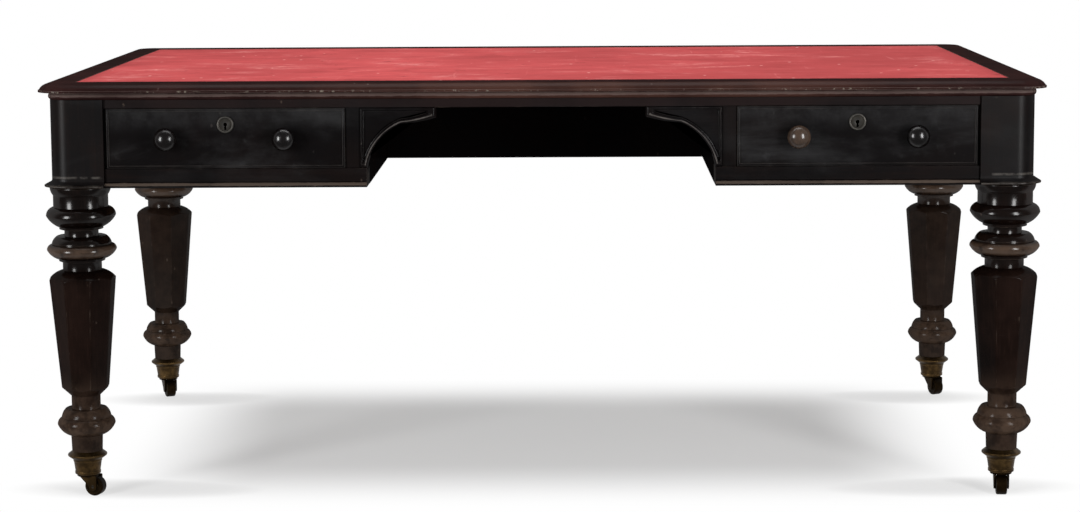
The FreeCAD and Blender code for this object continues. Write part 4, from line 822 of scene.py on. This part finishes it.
def edge_section():
    """Section of the border as distance in from its nose and height: flat, ovolo, quirk, nose and bead."""
    drop, reach = TABLE_HEIGHT - NOSE_TOP, OVOLO_END - QUIRK
    radius = arc_radius(reach, drop)
    lowest = math.degrees(math.asin((radius - drop) / radius))
    ovolo = arc((0, TABLE_HEIGHT - radius), radius, 90, lowest, 17)
    bead = arc((0, (BEAD_TOP + TOP_UNDERSIDE) / 2), (BEAD_TOP - TOP_UNDERSIDE) / 2, 90, -90, 17)
    flat_middle, into_bead = 40, 2
    section = joined(
        (BORDER_WIDTH, TABLE_HEIGHT), (BORDER_WIDTH - 3, TABLE_HEIGHT), (flat_middle, TABLE_HEIGHT),
        (OVOLO_END, 0) + ovolo * (-1, 1), (QUIRK, NOSE_TOP), (0, NOSE_TOP), (0, BEAD_TOP),
        (BEAD_MIDDLE - into_bead, BEAD_TOP), (BEAD_MIDDLE, 0) + bead[1:] * (-1, 1),
        (BORDER_WIDTH, TOP_UNDERSIDE))
    return soften(section, 0.7, closed=True)


def make_border():
    """Border of the top: its section carried round the rounded plan."""
    section = edge_section()
    inwards, height = section.T
    bead = (height < BEAD_TOP) & (inwards < BEAD_MIDDLE)
    # Wear on the bead centres above its middle: a painted highlight on its upper half, with the lower half
    # left dark
    worn_highlight_line, worn_highlight_reach = 748.5, 5.5
    crest = np.cos(np.clip((height - worn_highlight_line) / worn_highlight_reach, -1, 1) * math.pi / 2)
    wear = np.maximum(bending(section, near=1.0, far=7.0), np.where(bead, crest, 0))[:, None]
    shape = Shape()
    shape.add(lifted(ring_path(inwards), height) * MM, wear, close_rows=True)
    shape.piece("top_border_moulding", finish_of("border:mitred"), "table", "top_wood", "top_border")


def make_leather():
    """Leather laid in the border: a wide grid with slow waves in its height, pressed down along its rim.

    The upper and the lower face are laid end to end as one grid that closes on itself."""
    half_x, half_y = LEATHER_X * MM, LEATHER_Y * MM
    thickness, lowered, pressed, press_reach, still_rim = 0.0015, 0.0003, 0.0006, 0.004, 0.03
    x, y = np.meshgrid(half_x * np.linspace(-1, 1, 257), half_y * np.linspace(-1, 1, 145))
    rim = np.minimum(half_x - np.abs(x), half_y - np.abs(y))
    waves = (np.sin(7.1 * x + 1.3 * np.sin(5.3 * y)) * np.sin(6.3 * y + 0.7)
             + 0.6 * np.sin(17.0 * x - 9.0 * y + 1.1) + 0.4 * np.sin(31.0 * y + 11.0 * x))
    z = (TABLE_HEIGHT * MM - lowered - pressed * np.exp(-(rim / press_reach) ** 2)
         + settings().sizes.leather_wave * 0.5 * waves * np.clip(rim / still_rim, 0, 1))
    under = points_of(x, y, TABLE_HEIGHT * MM - thickness)
    shape = Shape()
    shape.add(np.concatenate([points_of(x, y, z), under[:, ::-1]], axis=1))
    leather = shape.piece("writing_leather", finish_of("leather"), "table", "leather", "leather_inset")


def beaded_section(face, back, low, high, arris):
    """Section of a rail as depth and height, with a half-sunk bead along the foot of its face."""
    bead = arc((face, low + RAIL_BEAD), RAIL_BEAD, -90, 90, 15)
    bead_top = low + 2 * RAIL_BEAD
    support = min(6.0, (high - bead_top) / 3)
    corners = joined((back, low), bead, (face, bead_top + support), (face, high - support), (face, high),
                     (face - 4, high), (back, high))
    return soften(corners, arris, closed=True)


def bead_wear_and_highlight(section, face):
    """Wear and painted highlight of a rail's bead: full at its crest, nothing where it leaves the face or
    turns under.
    """
    crest, turned_under, ease = 5.0, 2.2, 3.0
    outwards = np.clip((section[:, 0] - face) / crest, 0, 1) ** 2
    # painted highlight: the wear is kept off the bead's lower edge, which stays dark
    upper = np.clip((section[:, 1] - RAIL_FOOT - turned_under) / ease, 0, 1)
    return (outwards * upper)[None, :]


def make_rails():
    """Rails of the frieze: straight sections carried between the legs, with a bead along the foot."""
    arris = settings().sizes.arris / MM
    shape = Shape()
    for side in (1, -1):
        bar(shape, (-BLOCK_INSIDE_X, -RAIL_FACE, TOP_RAIL_BOTTOM),
            (BLOCK_INSIDE_X, -RAIL_BACK, TOP_UNDERSIDE), 0, arris, (1, side, 1))
    shape.piece("frieze_top_rails", finish_of("frieze:x"), "table", "ebonised_wood", "top_rails")
    section = beaded_section(RAIL_FACE, RAIL_BACK, RAIL_FOOT, BOTTOM_RAIL_TOP, arris)
    points, wear = run(section, KNEEHOLE_EDGE, BLOCK_INSIDE_X, 0, arris)
    wear = np.maximum(ARRIS_WEAR * wear, bead_wear_and_highlight(section, RAIL_FACE))
    for name, side_y in (("front", -1), ("back", 1)):
        shape = Shape()
        for side_x in (-1, 1):
            shape.add(points * (side_x, side_y, 1) * MM, wear)
        shape.piece(f"{name}_base_rails", finish_of("frieze:x"), "table", "ebonised_wood",
                    f"{name}_bottom_rails")
    section = beaded_section(END_RAIL_FACE, END_RAIL_BACK, RAIL_FOOT, TOP_UNDERSIDE, arris)
    points, wear = run(section, -BLOCK_INSIDE_Y, BLOCK_INSIDE_Y, 1, arris)
    wear = np.maximum(ARRIS_WEAR * wear, bead_wear_and_highlight(section, END_RAIL_FACE))
    for name, side in (("left", -1), ("right", 1)):
        shape = Shape()
        shape.add(points * (side, 1, 1) * MM, wear)
        shape.piece(f"{name}_end_frieze", finish_of("frieze:y"), "table", "ebonised_wood", f"{name}_end_rail")
    shape = Shape()
    for corner in CORNERS:
        place = to_corner(corner)
        bar(shape, (BRACKET_SIDE, -STILE_FACE, BOTTOM_RAIL_TOP),
            (OPENING_INNER, -BRACKET_BACK, TOP_RAIL_BOTTOM), 2, arris, place)
        bar(shape, (OPENING_OUTER, -STRIP_FACE, BOTTOM_RAIL_TOP),
            (BLOCK_INSIDE_X, -BRACKET_BACK, TOP_RAIL_BOTTOM), 2, 0.6 * arris, place)
    shape.piece("frieze_uprights", finish_of("frieze:z"), "table", "ebonised_wood", "drawer_stiles")


def bracket_curves():
    """Outline of a bracket and of its sunk panel, point for point: arch, lobe, tip, head, side and foot."""
    foot, head = BOTTOM_RAIL_TOP, TOP_RAIL_BOTTOM
    radius, drop, tip_depth, lobe_sag = 104, 16, 19, 1.6
    arch_bead, panel_foot, panel_head = 8, foot + 12, head - 6
    centre = (KNEEHOLE_EDGE - math.sqrt(radius ** 2 - drop ** 2), foot - drop)

    def arch(reach, low):
        first = math.degrees(math.asin((low - centre[1]) / reach))
        last = math.degrees(math.acos((BRACKET_CUSP - centre[0]) / reach))
        return arc(centre, reach, first, last, ARCH_POINTS)

    counts = (LOBE_POINTS, 8, 20, 20, 6)
    rounds = [arch(radius, foot), arch(radius + arch_bead, panel_foot)]
    corners = [[(BRACKET_TIP, head - tip_depth), (BRACKET_TIP, head),
                (BRACKET_SIDE, head), (BRACKET_SIDE, foot)],
               [(BRACKET_TIP + 15, panel_head - 4), (BRACKET_TIP + 17, panel_head),
                (BRACKET_SIDE - 6.5, panel_head), (BRACKET_SIDE - 4.5, panel_foot + 2)]]
    outlines = []
    for curve, points in zip(rounds, corners):
        stops = [curve[-1], *points, curve[0]]
        sides = [bow(a, b, lobe_sag if n == 0 else 0, count)[:-1]
                 for n, (a, b, count) in enumerate(zip(stops[:-1], stops[1:], counts))]
        outlines.append(np.concatenate([curve[:-1], *sides]))
    return outlines


def make_brackets():
    """Spandrel brackets: strips between two outlines, with a bead's height across them, and a sunk panel.

    A row is a share of the way from the outer outline to the panel's; its height is the bead's round.
    Wear, which also paints a highlight along the bead's crest, is most along the arch and its lobe."""
    outer, inner = bracket_curves()
    swelling = settings().sizes.bead_swell / MM
    panel, bead_foot, lowest, margin, arch_wear_and_highlight, other_wear_and_highlight = RAIL_FACE - 4, 2.2, -2.0, 0.03, 0.85, 0.45
    rows = [(outer, BRACKET_BACK, 0.0), (outer, panel, 0.0)]
    for share in np.linspace(0, 1, 13):
        height = (1 - (2 * share - 1) ** 4) * (swelling + bead_foot) - bead_foot
        line = outer + (inner - outer) * (margin + (1 - 2 * margin) * share)
        # the bead's crest gets wear that also paints its highlight
        rows.append((line, RAIL_FACE + max(height, lowest), math.sin(math.pi * share) ** 6))
    rows += [(inner, panel + 0.5, -1.0), (inset(inner, 1.0), panel, -0.8), (inset(inner, 2.6), panel, 0.0)]
    points = np.stack([points_of(line[:, 0], -depth, line[:, 1]) for line, depth, worn in rows])
    rubbed = np.where(np.arange(len(outer)) < ARCH_POINTS + LOBE_POINTS, arch_wear_and_highlight, other_wear_and_highlight)
    wear = np.array([worn for line, depth, worn in rows])[:, None] * rubbed
    shape = Shape()
    for corner in CORNERS:
        shape.add(points * to_corner(corner) * MM, wear)
    shape.piece("kneehole_brackets", finish_of("bracket:x"), "table", "ebonised_wood", "spandrel_brackets")


def leg_profile():
    """Radius and height of the leg's turning from under the block down to the cup, in millimetres."""
    to_arris = 1 / math.cos(math.pi / 8)
    drum = arc((32.3, 578), 23.2, 0, -40.3, 9)
    first_ring = crested(top_edge=50, widest=63.5, foot_edge=43, top=541, crest=525, foot=505, sag=2.3)
    cap = bow((45, 487), (54.5, 474), 1.5, 9)
    second_ring = crested(top_edge=53, widest=63.5, foot_edge=46, top=472, crest=462, foot=446, sag=2.3)
    shoulder = bow((35.5, SLOPE_TOP), (FLAT_TOP * to_arris, SHAFT_TOP), 3.0, 12)
    bulb_cap = bow((37.5, 165), (45.5, 149), 1.5, 9)
    bulb = crested(top_edge=44, widest=53, foot_edge=29, top=149, crest=136, foot=114.5, sag=4.0)
    profile = joined(
        (0, 581), (50, 581), (50, 578), drum, first_ring, (40, 505), (40, 500), (31, 500), (31, 487), cap,
        (53, 474), second_ring, (42, 446), (42, 441), (35.5, 441), shoulder,
        (FLAT_FOOT * to_arris, SHAFT_FOOT), (26.5, SLOPE_FOOT), (26.5, 165), bulb_cap, bulb,
        (28, 85), (0, 85))
    return soften(profile, 0.8, steps=3)


def dense(profile, low, high, step):
    """More profile points between two heights, so that flats planed there keep a clean outline."""
    parts = [profile[:1]]
    for start, end in zip(profile[:-1], profile[1:]):
        inside = low - 1 <= min(start[1], end[1]) and max(start[1], end[1]) <= high + 1
        count = max(1, int(abs(end[1] - start[1]) / step)) if inside else 1
        t = np.linspace(0, 1, count + 1)[1:, None]
        parts.append(start + (end - start) * t)
    return np.concatenate(parts)


def leg_turning():
    """The turning with its eight flats.

    The radius is the lesser of the turned profile and the flat's distance over the cosine of the angle from
    the flat's middle, eased at the arrises."""
    profile = dense(leg_profile(), SLOPE_FOOT, SLOPE_TOP, 2.0)
    angle, half_flat = round_angles(160), math.pi / 8
    from_middle = (angle + half_flat) % (2 * half_flat) - half_flat
    radius, height = profile[:, 0, None], profile[:, 1, None]
    flat = FLAT_FOOT + (FLAT_TOP - FLAT_FOOT) * (height - SHAFT_FOOT) / (SHAFT_TOP - SHAFT_FOOT)
    planed = np.minimum(radius, flat / np.cos(from_middle))
    eased, worn_from, arris_wear = 0.9965, 0.84, 0.50
    planed = np.minimum(planed, np.maximum(flat, 1) * eased / math.cos(half_flat))
    shaft = (height > SLOPE_FOOT + 0.05) & (height < SLOPE_TOP - 0.05)
    radius = np.where(shaft, planed, radius)
    arris = np.clip((np.abs(from_middle) / half_flat - worn_from) / (1 - worn_from), 0, 1)
    rubbed = (height > SHAFT_FOOT - 6) & (height < SHAFT_TOP + 5)
    wear = np.maximum(turned_wear(profile), np.where(rubbed, arris_wear * arris, 0))
    return ring_points(radius, angle, height), wear


def block_rows():
    """Outward step and height down the block's outer faces: plain face, hollow, flat, lip and underside."""
    hollow, lip, lip_foot = 11, 14, BLOCK_FOOT - 3
    curve = arc((hollow, BLOCK_FOOT + hollow), hollow, 180, 270, 11)
    return soften(joined((0, TOP_UNDERSIDE), (0, 730), (0, 620), (0, 601), curve, (lip, BLOCK_FOOT),
                         (lip, lip_foot), (lip - 6, lip_foot)), 0.7)


def leg_block():
    """The square block: its plan, with a rounded outer corner, steps out on the outer sides down the rows."""
    rows = block_rows()
    step = rows[:, 0, None]
    span = np.linspace(0, 1, 12)
    flat = BLOCK_OUTER - BLOCK_CORNER
    turn = np.radians(np.linspace(-90, 0, 25))[1:-1]
    whole = BLOCK_OUTER + BLOCK_INNER + step
    front = points_of((flat + BLOCK_INNER) * span - BLOCK_INNER, -BLOCK_OUTER - step)
    bend = points_of(flat + (BLOCK_CORNER + step) * np.cos(turn), (BLOCK_CORNER + step) * np.sin(turn) - flat)
    side = points_of(BLOCK_OUTER + step, (flat + BLOCK_INNER) * span - flat)
    back = points_of(BLOCK_OUTER + step - whole * span[1:], BLOCK_INNER)
    inner = points_of(-BLOCK_INNER, BLOCK_INNER - whole * span[1:-1])
    plan = np.concatenate([front, bend, side, back, inner], axis=1)
    outer = np.arange(plan.shape[1]) < 2 * len(span) + len(turn)
    behind_face = np.array([[-60, 560], [-60, 760]])
    sharp = bending(np.concatenate([rows, behind_face]))[:len(rows), None]
    return lifted(plan, rows[:, 1]), sharp * outer


def make_legs():
    """Legs: the block with its collar, and the turning with its eight-sided shaft."""
    turning, turning_wear = leg_turning()
    block, block_wear = leg_block()
    for corner in CORNERS:
        place = to_corner(corner)
        shape = Shape()
        shape.add((block + (LEG_X, -LEG_Y, 0)) * place * MM, block_wear, finish=1)
        shape.add((turning + (LEG_X, -LEG_Y, 0)) * place * MM, turning_wear)
        shape.piece(f"turned_leg_{corner}", [finish_of("leg:z"), finish_of("block:z")], "table", "leg_wood",
                    f"leg_{corner}")


def knob_profile():
    """Radius and height of a bun knob from its spigot to its crown: two arcs that meet at its widest."""
    widest, middle, crown, spigot, neck = 21, 24, 38, 7, 13
    sink, rise, drop = 12, crown - middle, 15
    radius = arc_radius(drop, sink)
    belly = arc((widest - radius, middle), radius, -math.degrees(math.asin(drop / radius)), 0, 15)
    radius = arc_radius(widest, rise)
    top = arc((0, crown - radius), radius, math.degrees(math.acos(widest / radius)), 89.5, 19)
    return soften(joined((0, -19), (spigot, -19), (spigot, 0), (neck, 0), (neck, 3.4), (11.5, 4.2), belly,
                         top[1:]), 0.5)


def facing(points, middle_x, height):
    """Turn a form made about the vertical to stand out of the front right drawer's face."""
    x, y, z = np.moveaxis(points, -1, 0)
    return points_of(x + middle_x, -DRAWER_FACE - z, y + height)


def make_knobs():
    """Two knobs on each drawer: a bun profile turned about the axis out of the drawer's face."""
    profile = knob_profile()
    wear = turned_wear(profile) * 0.6
    knob = turned(profile, segments=64)
    for corner in CORNERS:
        place = to_corner(corner)
        shape = Shape()
        for side in (-1, 1):
            shape.add(facing(knob, OPENING_MIDDLE + side * KNOB_REACH, KNOB_Z) * place * MM, wear)
        shape.piece(f"{corner}_turned_knobs", finish_of("knob:x"), f"{corner}_drawer", "turned_wood",
                    f"{corner}_drawer_knobs")


def make_escutcheons():
    """Round plates with a raised rim: rings blended from the keyhole's outline out to the plate's edge.

    The keyhole is a circle, and below it the straight sides and foot of a slot, told as reach by angle."""
    hole, slot_half, slot_foot, field, edge = 3.5, 2.0, 10.0, 11.3, 15.5
    angle = np.radians(np.linspace(0, 360, 96, endpoint=False) + 90)
    x, y = np.cos(angle), np.sin(angle)
    slot = np.minimum(slot_half / np.maximum(np.abs(x), 1e-6), slot_foot / np.maximum(-y, 1e-6))
    keyhole = np.where(y < 0, np.maximum(hole, slot), hole)
    shares = ((0.0, 0.0, 0.0), (0.0, 1.4, 0.8), (0.06, 1.55, 0.3), (0.75, 1.5, -0.6))
    rows = [(keyhole + (field - keyhole) * share, height, worn) for share, height, worn in shares]
    rim_middle, rim_foot, rim_half, flattened = 13.5, 1.5, 2.0, 0.75
    rim_wear = (-0.6, 0, 0.3, 0.6, 0.9, 1, 0.9, 0.6, 0.3, 0, 0)
    rim = arc((rim_middle, 0), rim_half, 180, 0, len(rim_wear))
    rows += [(reach, rim_foot + height * flattened, worn) for (reach, height), worn in zip(rim, rim_wear)]
    rows.append((edge, 0.0, 0.0))
    plate = np.stack([ring_points(reach, angle, height) for reach, height, worn in rows])
    wear = np.array([worn for reach, height, worn in rows])[:, None]
    for corner in CORNERS:
        shape = Shape()
        shape.add(facing(plate, OPENING_MIDDLE, KEYHOLE_Z) * to_corner(corner) * MM, wear, close_rows=True)
        shape.piece(f"{corner}_keyhole_plate", finish_of("plate metal"), f"{corner}_drawer",
                    "escutcheon_metal", f"{corner}_drawer_escutcheon")


def cup_profile():
    """Radius and height of a caster cup: bore, outside, flange and down into the socket."""
    bore, socket = 5.05, 21.5
    return soften(joined((bore, 40.5), (21, 40.5), (23.6, 41.5), (23.9, 46), (23.0, 46.8), (25.6, 64.5),
                         (26.4, 65.3), (26.5, 69), (27.5, 69.3), (35.4, 75.2), (36, 76), (36, 78),
                         (35.4, 78.8), (27.5, 85), (socket, 85), (socket, 48.5), (bore, 48.5)),
                  0.5, closed=True)


def disc_profile():
    """Radius and height of a fork's disc, with its pivot and the pivot's head above."""
    pivot, head = 5, 9
    return soften(joined((0, 36.6), (19.4, 36.6), (20, 37.4), (20, 40.2), (pivot, 40.2), (pivot, 48.8),
                         (head, 48.8), (head, 52.8), (0, 52.8)), 0.5)


def wheel_profile():
    """Radius and place along the axle of a wheel, both ways alike: bore, hub, dished side, rounded tread."""
    half = joined((3.05, 10), (8, 10), (8.6, 8.8), (12.5, 8.8), (13.2, 10), (15.2, 10), (17.2, 9.2),
                  (WHEEL_RADIUS, 7.2))
    return soften(joined(half * (1, -1), half[::-1]), 0.6, closed=True)


def cheek_outline():
    """Side view of a fork's cheek from its leg's axis: a tapering arm with a round eye on the axle."""
    eye, back, head = 7.5, -11, 38.3
    return soften(joined((back, 36.5), arc((AXLE_TRAIL, WHEEL_RADIUS), eye, 180, 360, 19),
                         (AXLE_TRAIL + eye, head), (back, head)), 2.0, closed=True)


def trailing(points, corner):
    """Turn a caster's form about its leg's axis to the way it trails, and set it under its leg."""
    side_x, side_y = CORNERS[corner]
    turn = math.radians(TRAILS[corner])
    x, y, z = np.moveaxis(points, -1, 0)
    return points_of(x * math.cos(turn) - y * math.sin(turn) + side_x * LEG_X,
                     x * math.sin(turn) + y * math.cos(turn) + side_y * LEG_Y, z) * MM


def make_casters():
    """Casters: turned cups, forks of a turned disc with two cheeks, and wheels turned about their axles."""
    cup, disc, tread, cheek = cup_profile(), disc_profile(), wheel_profile(), cheek_outline()
    cup_wear, wheel_wear = bending(cup)[:, None], bending(tread)[:, None]
    shape = Shape()
    for side_x, side_y in CORNERS.values():
        place = (side_x * LEG_X, side_y * LEG_Y, 0)
        shape.add((turned(cup, segments=72) + place) * MM, cup_wear, close_rows=True)
    shape.piece("brass_cups", finish_of("cup brass"), "table", "caster_brass", "caster_cups")
    cheek_inside, cheek_outside = 10.35, 14.0
    x, y, z = np.moveaxis(turned(tread, segments=72), -1, 0)
    wheel = points_of(x + AXLE_TRAIL, z, y + WHEEL_RADIUS)
    for corner in CORNERS:
        shape = Shape()
        shape.add(trailing(turned(disc, segments=64), corner), turned_wear(disc))
        for low, high in ((-cheek_outside, -cheek_inside), (cheek_inside, cheek_outside)):
            points, wear = run(cheek, low, high, 1, 0.7)
            shape.add(trailing(points, corner), wear)
        shape.piece(f"brass_fork_{corner}", finish_of("caster brass"), f"caster_{corner}", "caster_brass",
                    f"caster_fork_{corner}")
        shape = Shape()
        shape.add(trailing(wheel, corner), wheel_wear, close_rows=True)
        shape.piece(f"brass_wheel_{corner}", finish_of("caster brass"), f"wheel_{corner}", "caster_brass",
                    f"caster_wheel_{corner}")


def dress_carcase():
    """Finishes for the pieces that keep their CAD shapes: drawers, inside woodwork, locks and axles."""
    inside = {"top_board": "carcase:x", "centre_divider": "cheek:x", "drawer_partitions": "cheek:y",
              "drawer_runners": "carcase:y", "drawer_kickers": "carcase:y", "drawer_stops": "carcase:x"}
    drawer = {"front": "drawer front:x", "sides": "drawer lining:y", "back": "drawer lining:x",
              "bottom": "drawer lining:x", "lock": "lock brass"}
    for corner in CORNERS:
        for part, key in drawer.items():
            dress(f"{corner}_drawer_{part}", key)
        dress(f"caster_axle_{corner}", "axle steel")
    for node, key in inside.items():
        dress(node, key)


# Stage

# Rays by which the eye sees the backdrop: straight, by way of a polished face, or through something clear
SEEN_BY_EYE = ("Camera", "Glossy", "Transmission")


def floor_finish(colour, lift, room):
    """Pale floor that the eye sees as white, like the backdrop, apart from the table's shadow.

    The shadow is kept under the top and in a patch by each leg; in reflections the floor dims to `room` in
    front of the table."""
    finish = Finish("pale floor", Roughness=0.8, Specular_IOR_Level=0.0)
    x, y = abs(finish.axis("X")), finish.axis("Y")
    shadow_x, shadow_y, shift = (0.54, 0.86), (0.24, 0.62), 0.035
    patch_x, patch_y, reach_x, reach_y = 0.72, 0.42, 0.26, 0.085
    under_top = x.fall(*shadow_x) * y.near(shift, *shadow_y)
    along, across = (x - patch_x) / reach_x, (abs(y) - patch_y) / reach_y
    by_leg = (along * along + across * across).fall(0.0, 1.4) * 0.6
    far = 1 - under_top.maximum(by_leg)
    tone = finish.noise(finish.place, 3.0, 3.0)
    finish.feed(Base_Color=finish.mix(tone, shade(colour, 0.995), colour))
    eye = finish.rays(*SEEN_BY_EYE)
    dim_from, full_from = -0.80, -0.35
    sweep = finish.rays("Camera").maximum(y.ramp(dim_from, full_from, room, 1.0))
    raised = finish.node("ShaderNodeEmission", sockets={"Color": (1, 1, 1, 1), "Strength": eye * lift})
    lit = finish.node("ShaderNodeAddShader")
    white = finish.node("ShaderNodeEmission", sockets={"Color": (1, 1, 1, 1), "Strength": sweep})
    blend = finish.node("ShaderNodeMixShader", sockets={0: far * eye})
    output = finish.first("OUTPUT_MATERIAL")
    for start, end in ((finish.shader, lit.inputs[0]), (raised, lit.inputs[1]), (lit, blend.inputs[1]),
                       (white, blend.inputs[2]), (blend, output.inputs["Surface"])):
        finish.tree.links.new(start.outputs[0], end)
    return finish.material


def make_floor(stage):
    """Flat round floor: rings of points at even angles about the table."""
    radius, around = np.array([0.01, 1.0, 2.0, 4.0, 9.0])[:, None], 96
    points = ring_points(radius, round_angles(around), 0.0)
    faces = quads(len(radius), around, False)[:, ::-1].tolist() + [list(range(around))]
    mesh = bpy.data.meshes.new("studio_floor")
    mesh.from_pydata(points.reshape(-1, 3), [], faces)
    mesh.materials.append(floor_finish(tuple(stage.floor), stage.floor_lift, stage.room))
    placed("studio_floor", mesh)


def make_world(stage):
    """Even grey light on the table, and white where the camera or a polished face looks at the backdrop.

    In reflections the white falls to the room's light towards the front."""
    world = bpy.data.worlds.new("studio")
    bpy.context.scene.world = world
    nodes = Nodes(world)
    direction = nodes.node("ShaderNodeTexCoord").outputs["Generated"]
    backwards = Value(nodes, nodes.node("ShaderNodeSeparateXYZ", sockets={0: direction}).outputs["Y"])
    backdrop = backwards.ramp(-0.35, 0.15, stage.room, 1.0).maximum(nodes.rays("Camera"))
    sockets = {"Value": nodes.rays(*SEEN_BY_EYE), "To Min": stage.sky, "To Max": backdrop}
    strength = nodes.node("ShaderNodeMapRange", sockets=sockets)
    background = nodes.first("BACKGROUND")
    background.inputs["Color"].default_value = (1, 1, 1, 1)
    nodes.tree.links.new(strength.outputs[0], background.inputs["Strength"])


def make_lamp(name, power, width, height, place, aim):
    """A soft rectangular lamp at a place, looking at a point."""
    lamp = bpy.data.lights.new(name, "AREA")
    lamp.shape = "RECTANGLE"
    lamp.size, lamp.size_y, lamp.energy = width, height, power
    back = np.asarray(place, float) - np.asarray(aim, float)
    back /= np.linalg.norm(back)
    right = np.cross((0, 0, 1) if abs(back[2]) < 0.99 else (0, 1, 0), back)
    right /= np.linalg.norm(right)
    set_axes(placed(name, lamp), right, np.cross(back, right), back, place)


def set_axes(thing, right, up, back, place):
    """Set an object's place and the directions of its own axes."""
    rows = np.stack([right, up, back, place], axis=-1)
    thing.matrix_world = Matrix([*rows.tolist(), [0, 0, 0, 1]])


def make_camera(stage):
    """Camera in front of the table, a little right of its middle and turned a little down, left and over."""
    camera = bpy.data.cameras.new("photograph")
    camera.sensor_width, camera.lens, camera.shift_y = 36.0, stage.lens, CAMERA_SHIFT
    thing = placed("photograph", camera)
    forward = np.array([-math.sin(YAW) * math.cos(PITCH), math.cos(YAW) * math.cos(PITCH), -math.sin(PITCH)])
    right = np.array([math.cos(YAW), math.sin(YAW), 0.0])
    up = np.cross(right, forward)
    set_axes(thing, math.cos(ROLL) * right + math.sin(ROLL) * up,
             math.cos(ROLL) * up - math.sin(ROLL) * right, -forward, CAMERA_PLACE)
    bpy.context.scene.camera = thing


def make_stage():
    """Floor, backdrop, lamps and camera."""
    stage = settings().stage
    make_floor(stage)
    make_world(stage)
    for name, (width, height, place, aim) in LAMPS.items():
        make_lamp(name, getattr(stage, name), width, height, place, aim)
    make_camera(stage)
    bpy.context.scene.view_settings.view_transform = "Standard"


# Operators, panel and registration

class WRITINGTABLE_OT_top(bpy.types.Operator):
    """Make the moulded border and the leather of the top"""
    bl_idname = "writing_table.top"
    bl_label = "Top"

    def execute(self, context):
        make_border()
        make_leather()
        return {"FINISHED"}


class WRITINGTABLE_OT_frieze(bpy.types.Operator):
    """Make the rails, uprights and kneehole brackets"""
    bl_idname = "writing_table.frieze"
    bl_label = "Frieze"

    def execute(self, context):
        make_rails()
        make_brackets()
        return {"FINISHED"}


class WRITINGTABLE_OT_legs(bpy.types.Operator):
    """Make the four turned legs"""
    bl_idname = "writing_table.legs"
    bl_label = "Legs"

    def execute(self, context):
        make_legs()
        return {"FINISHED"}


class WRITINGTABLE_OT_fittings(bpy.types.Operator):
    """Make the knobs and keyhole plates of the drawers"""
    bl_idname = "writing_table.fittings"
    bl_label = "Drawer fittings"

    def execute(self, context):
        make_knobs()
        make_escutcheons()
        return {"FINISHED"}


class WRITINGTABLE_OT_casters(bpy.types.Operator):
    """Make the brass casters"""
    bl_idname = "writing_table.casters"
    bl_label = "Casters"

    def execute(self, context):
        make_casters()
        return {"FINISHED"}


class WRITINGTABLE_OT_carcase(bpy.types.Operator):
    """Finish the drawers and the inside woodwork, which keep their own shapes"""
    bl_idname = "writing_table.carcase"
    bl_label = "Drawers and carcase"

    def execute(self, context):
        dress_carcase()
        return {"FINISHED"}


class WRITINGTABLE_OT_stage(bpy.types.Operator):
    """Set the floor, backdrop, lamps and camera"""
    bl_idname = "writing_table.stage"
    bl_label = "Stage"

    def execute(self, context):
        make_stage()
        return {"FINISHED"}


OPERATORS = (WRITINGTABLE_OT_top, WRITINGTABLE_OT_frieze, WRITINGTABLE_OT_legs, WRITINGTABLE_OT_fittings,
             WRITINGTABLE_OT_casters, WRITINGTABLE_OT_carcase, WRITINGTABLE_OT_stage)


class TableSettings(bpy.types.PropertyGroup):
    """All settings of the table."""
    finish: PointerProperty(type=TableFinish, name="Finish", description="Colours and wear")
    sizes: PointerProperty(type=TableSizes, name="Sizes", description="Small sizes")
    stage: PointerProperty(type=StageSettings, name="Stage", description="Floor, lamps and camera")


class WRITINGTABLE_PT_panel(bpy.types.Panel):
    """Settings and pieces of the writing table"""
    bl_idname = "WRITINGTABLE_PT_panel"
    bl_label = "Writing Table"
    bl_space_type = "VIEW_3D"
    bl_region_type = "UI"
    bl_category = "Writing Table"

    def draw(self, context):
        for group in (settings().finish, settings().sizes, settings().stage):
            box = self.layout.box()
            for name in group.__annotations__:
                box.prop(group, name)
        for operator in OPERATORS:
            self.layout.operator(operator.bl_idname)


CLASSES = (TableFinish, TableSizes, StageSettings, TableSettings, *OPERATORS, WRITINGTABLE_PT_panel)


def register():
    for each in CLASSES:
        bpy.utils.register_class(each)
    bpy.types.Scene.writing_table = PointerProperty(type=TableSettings)


def unregister():
    del bpy.types.Scene.writing_table
    for each in reversed(CLASSES):
        bpy.utils.unregister_class(each)


def main():
    register()
    for operator in OPERATORS:
        group, name = operator.bl_idname.split(".")
        getattr(getattr(bpy.ops, group), name)()


if __name__ == "__main__":
    main()
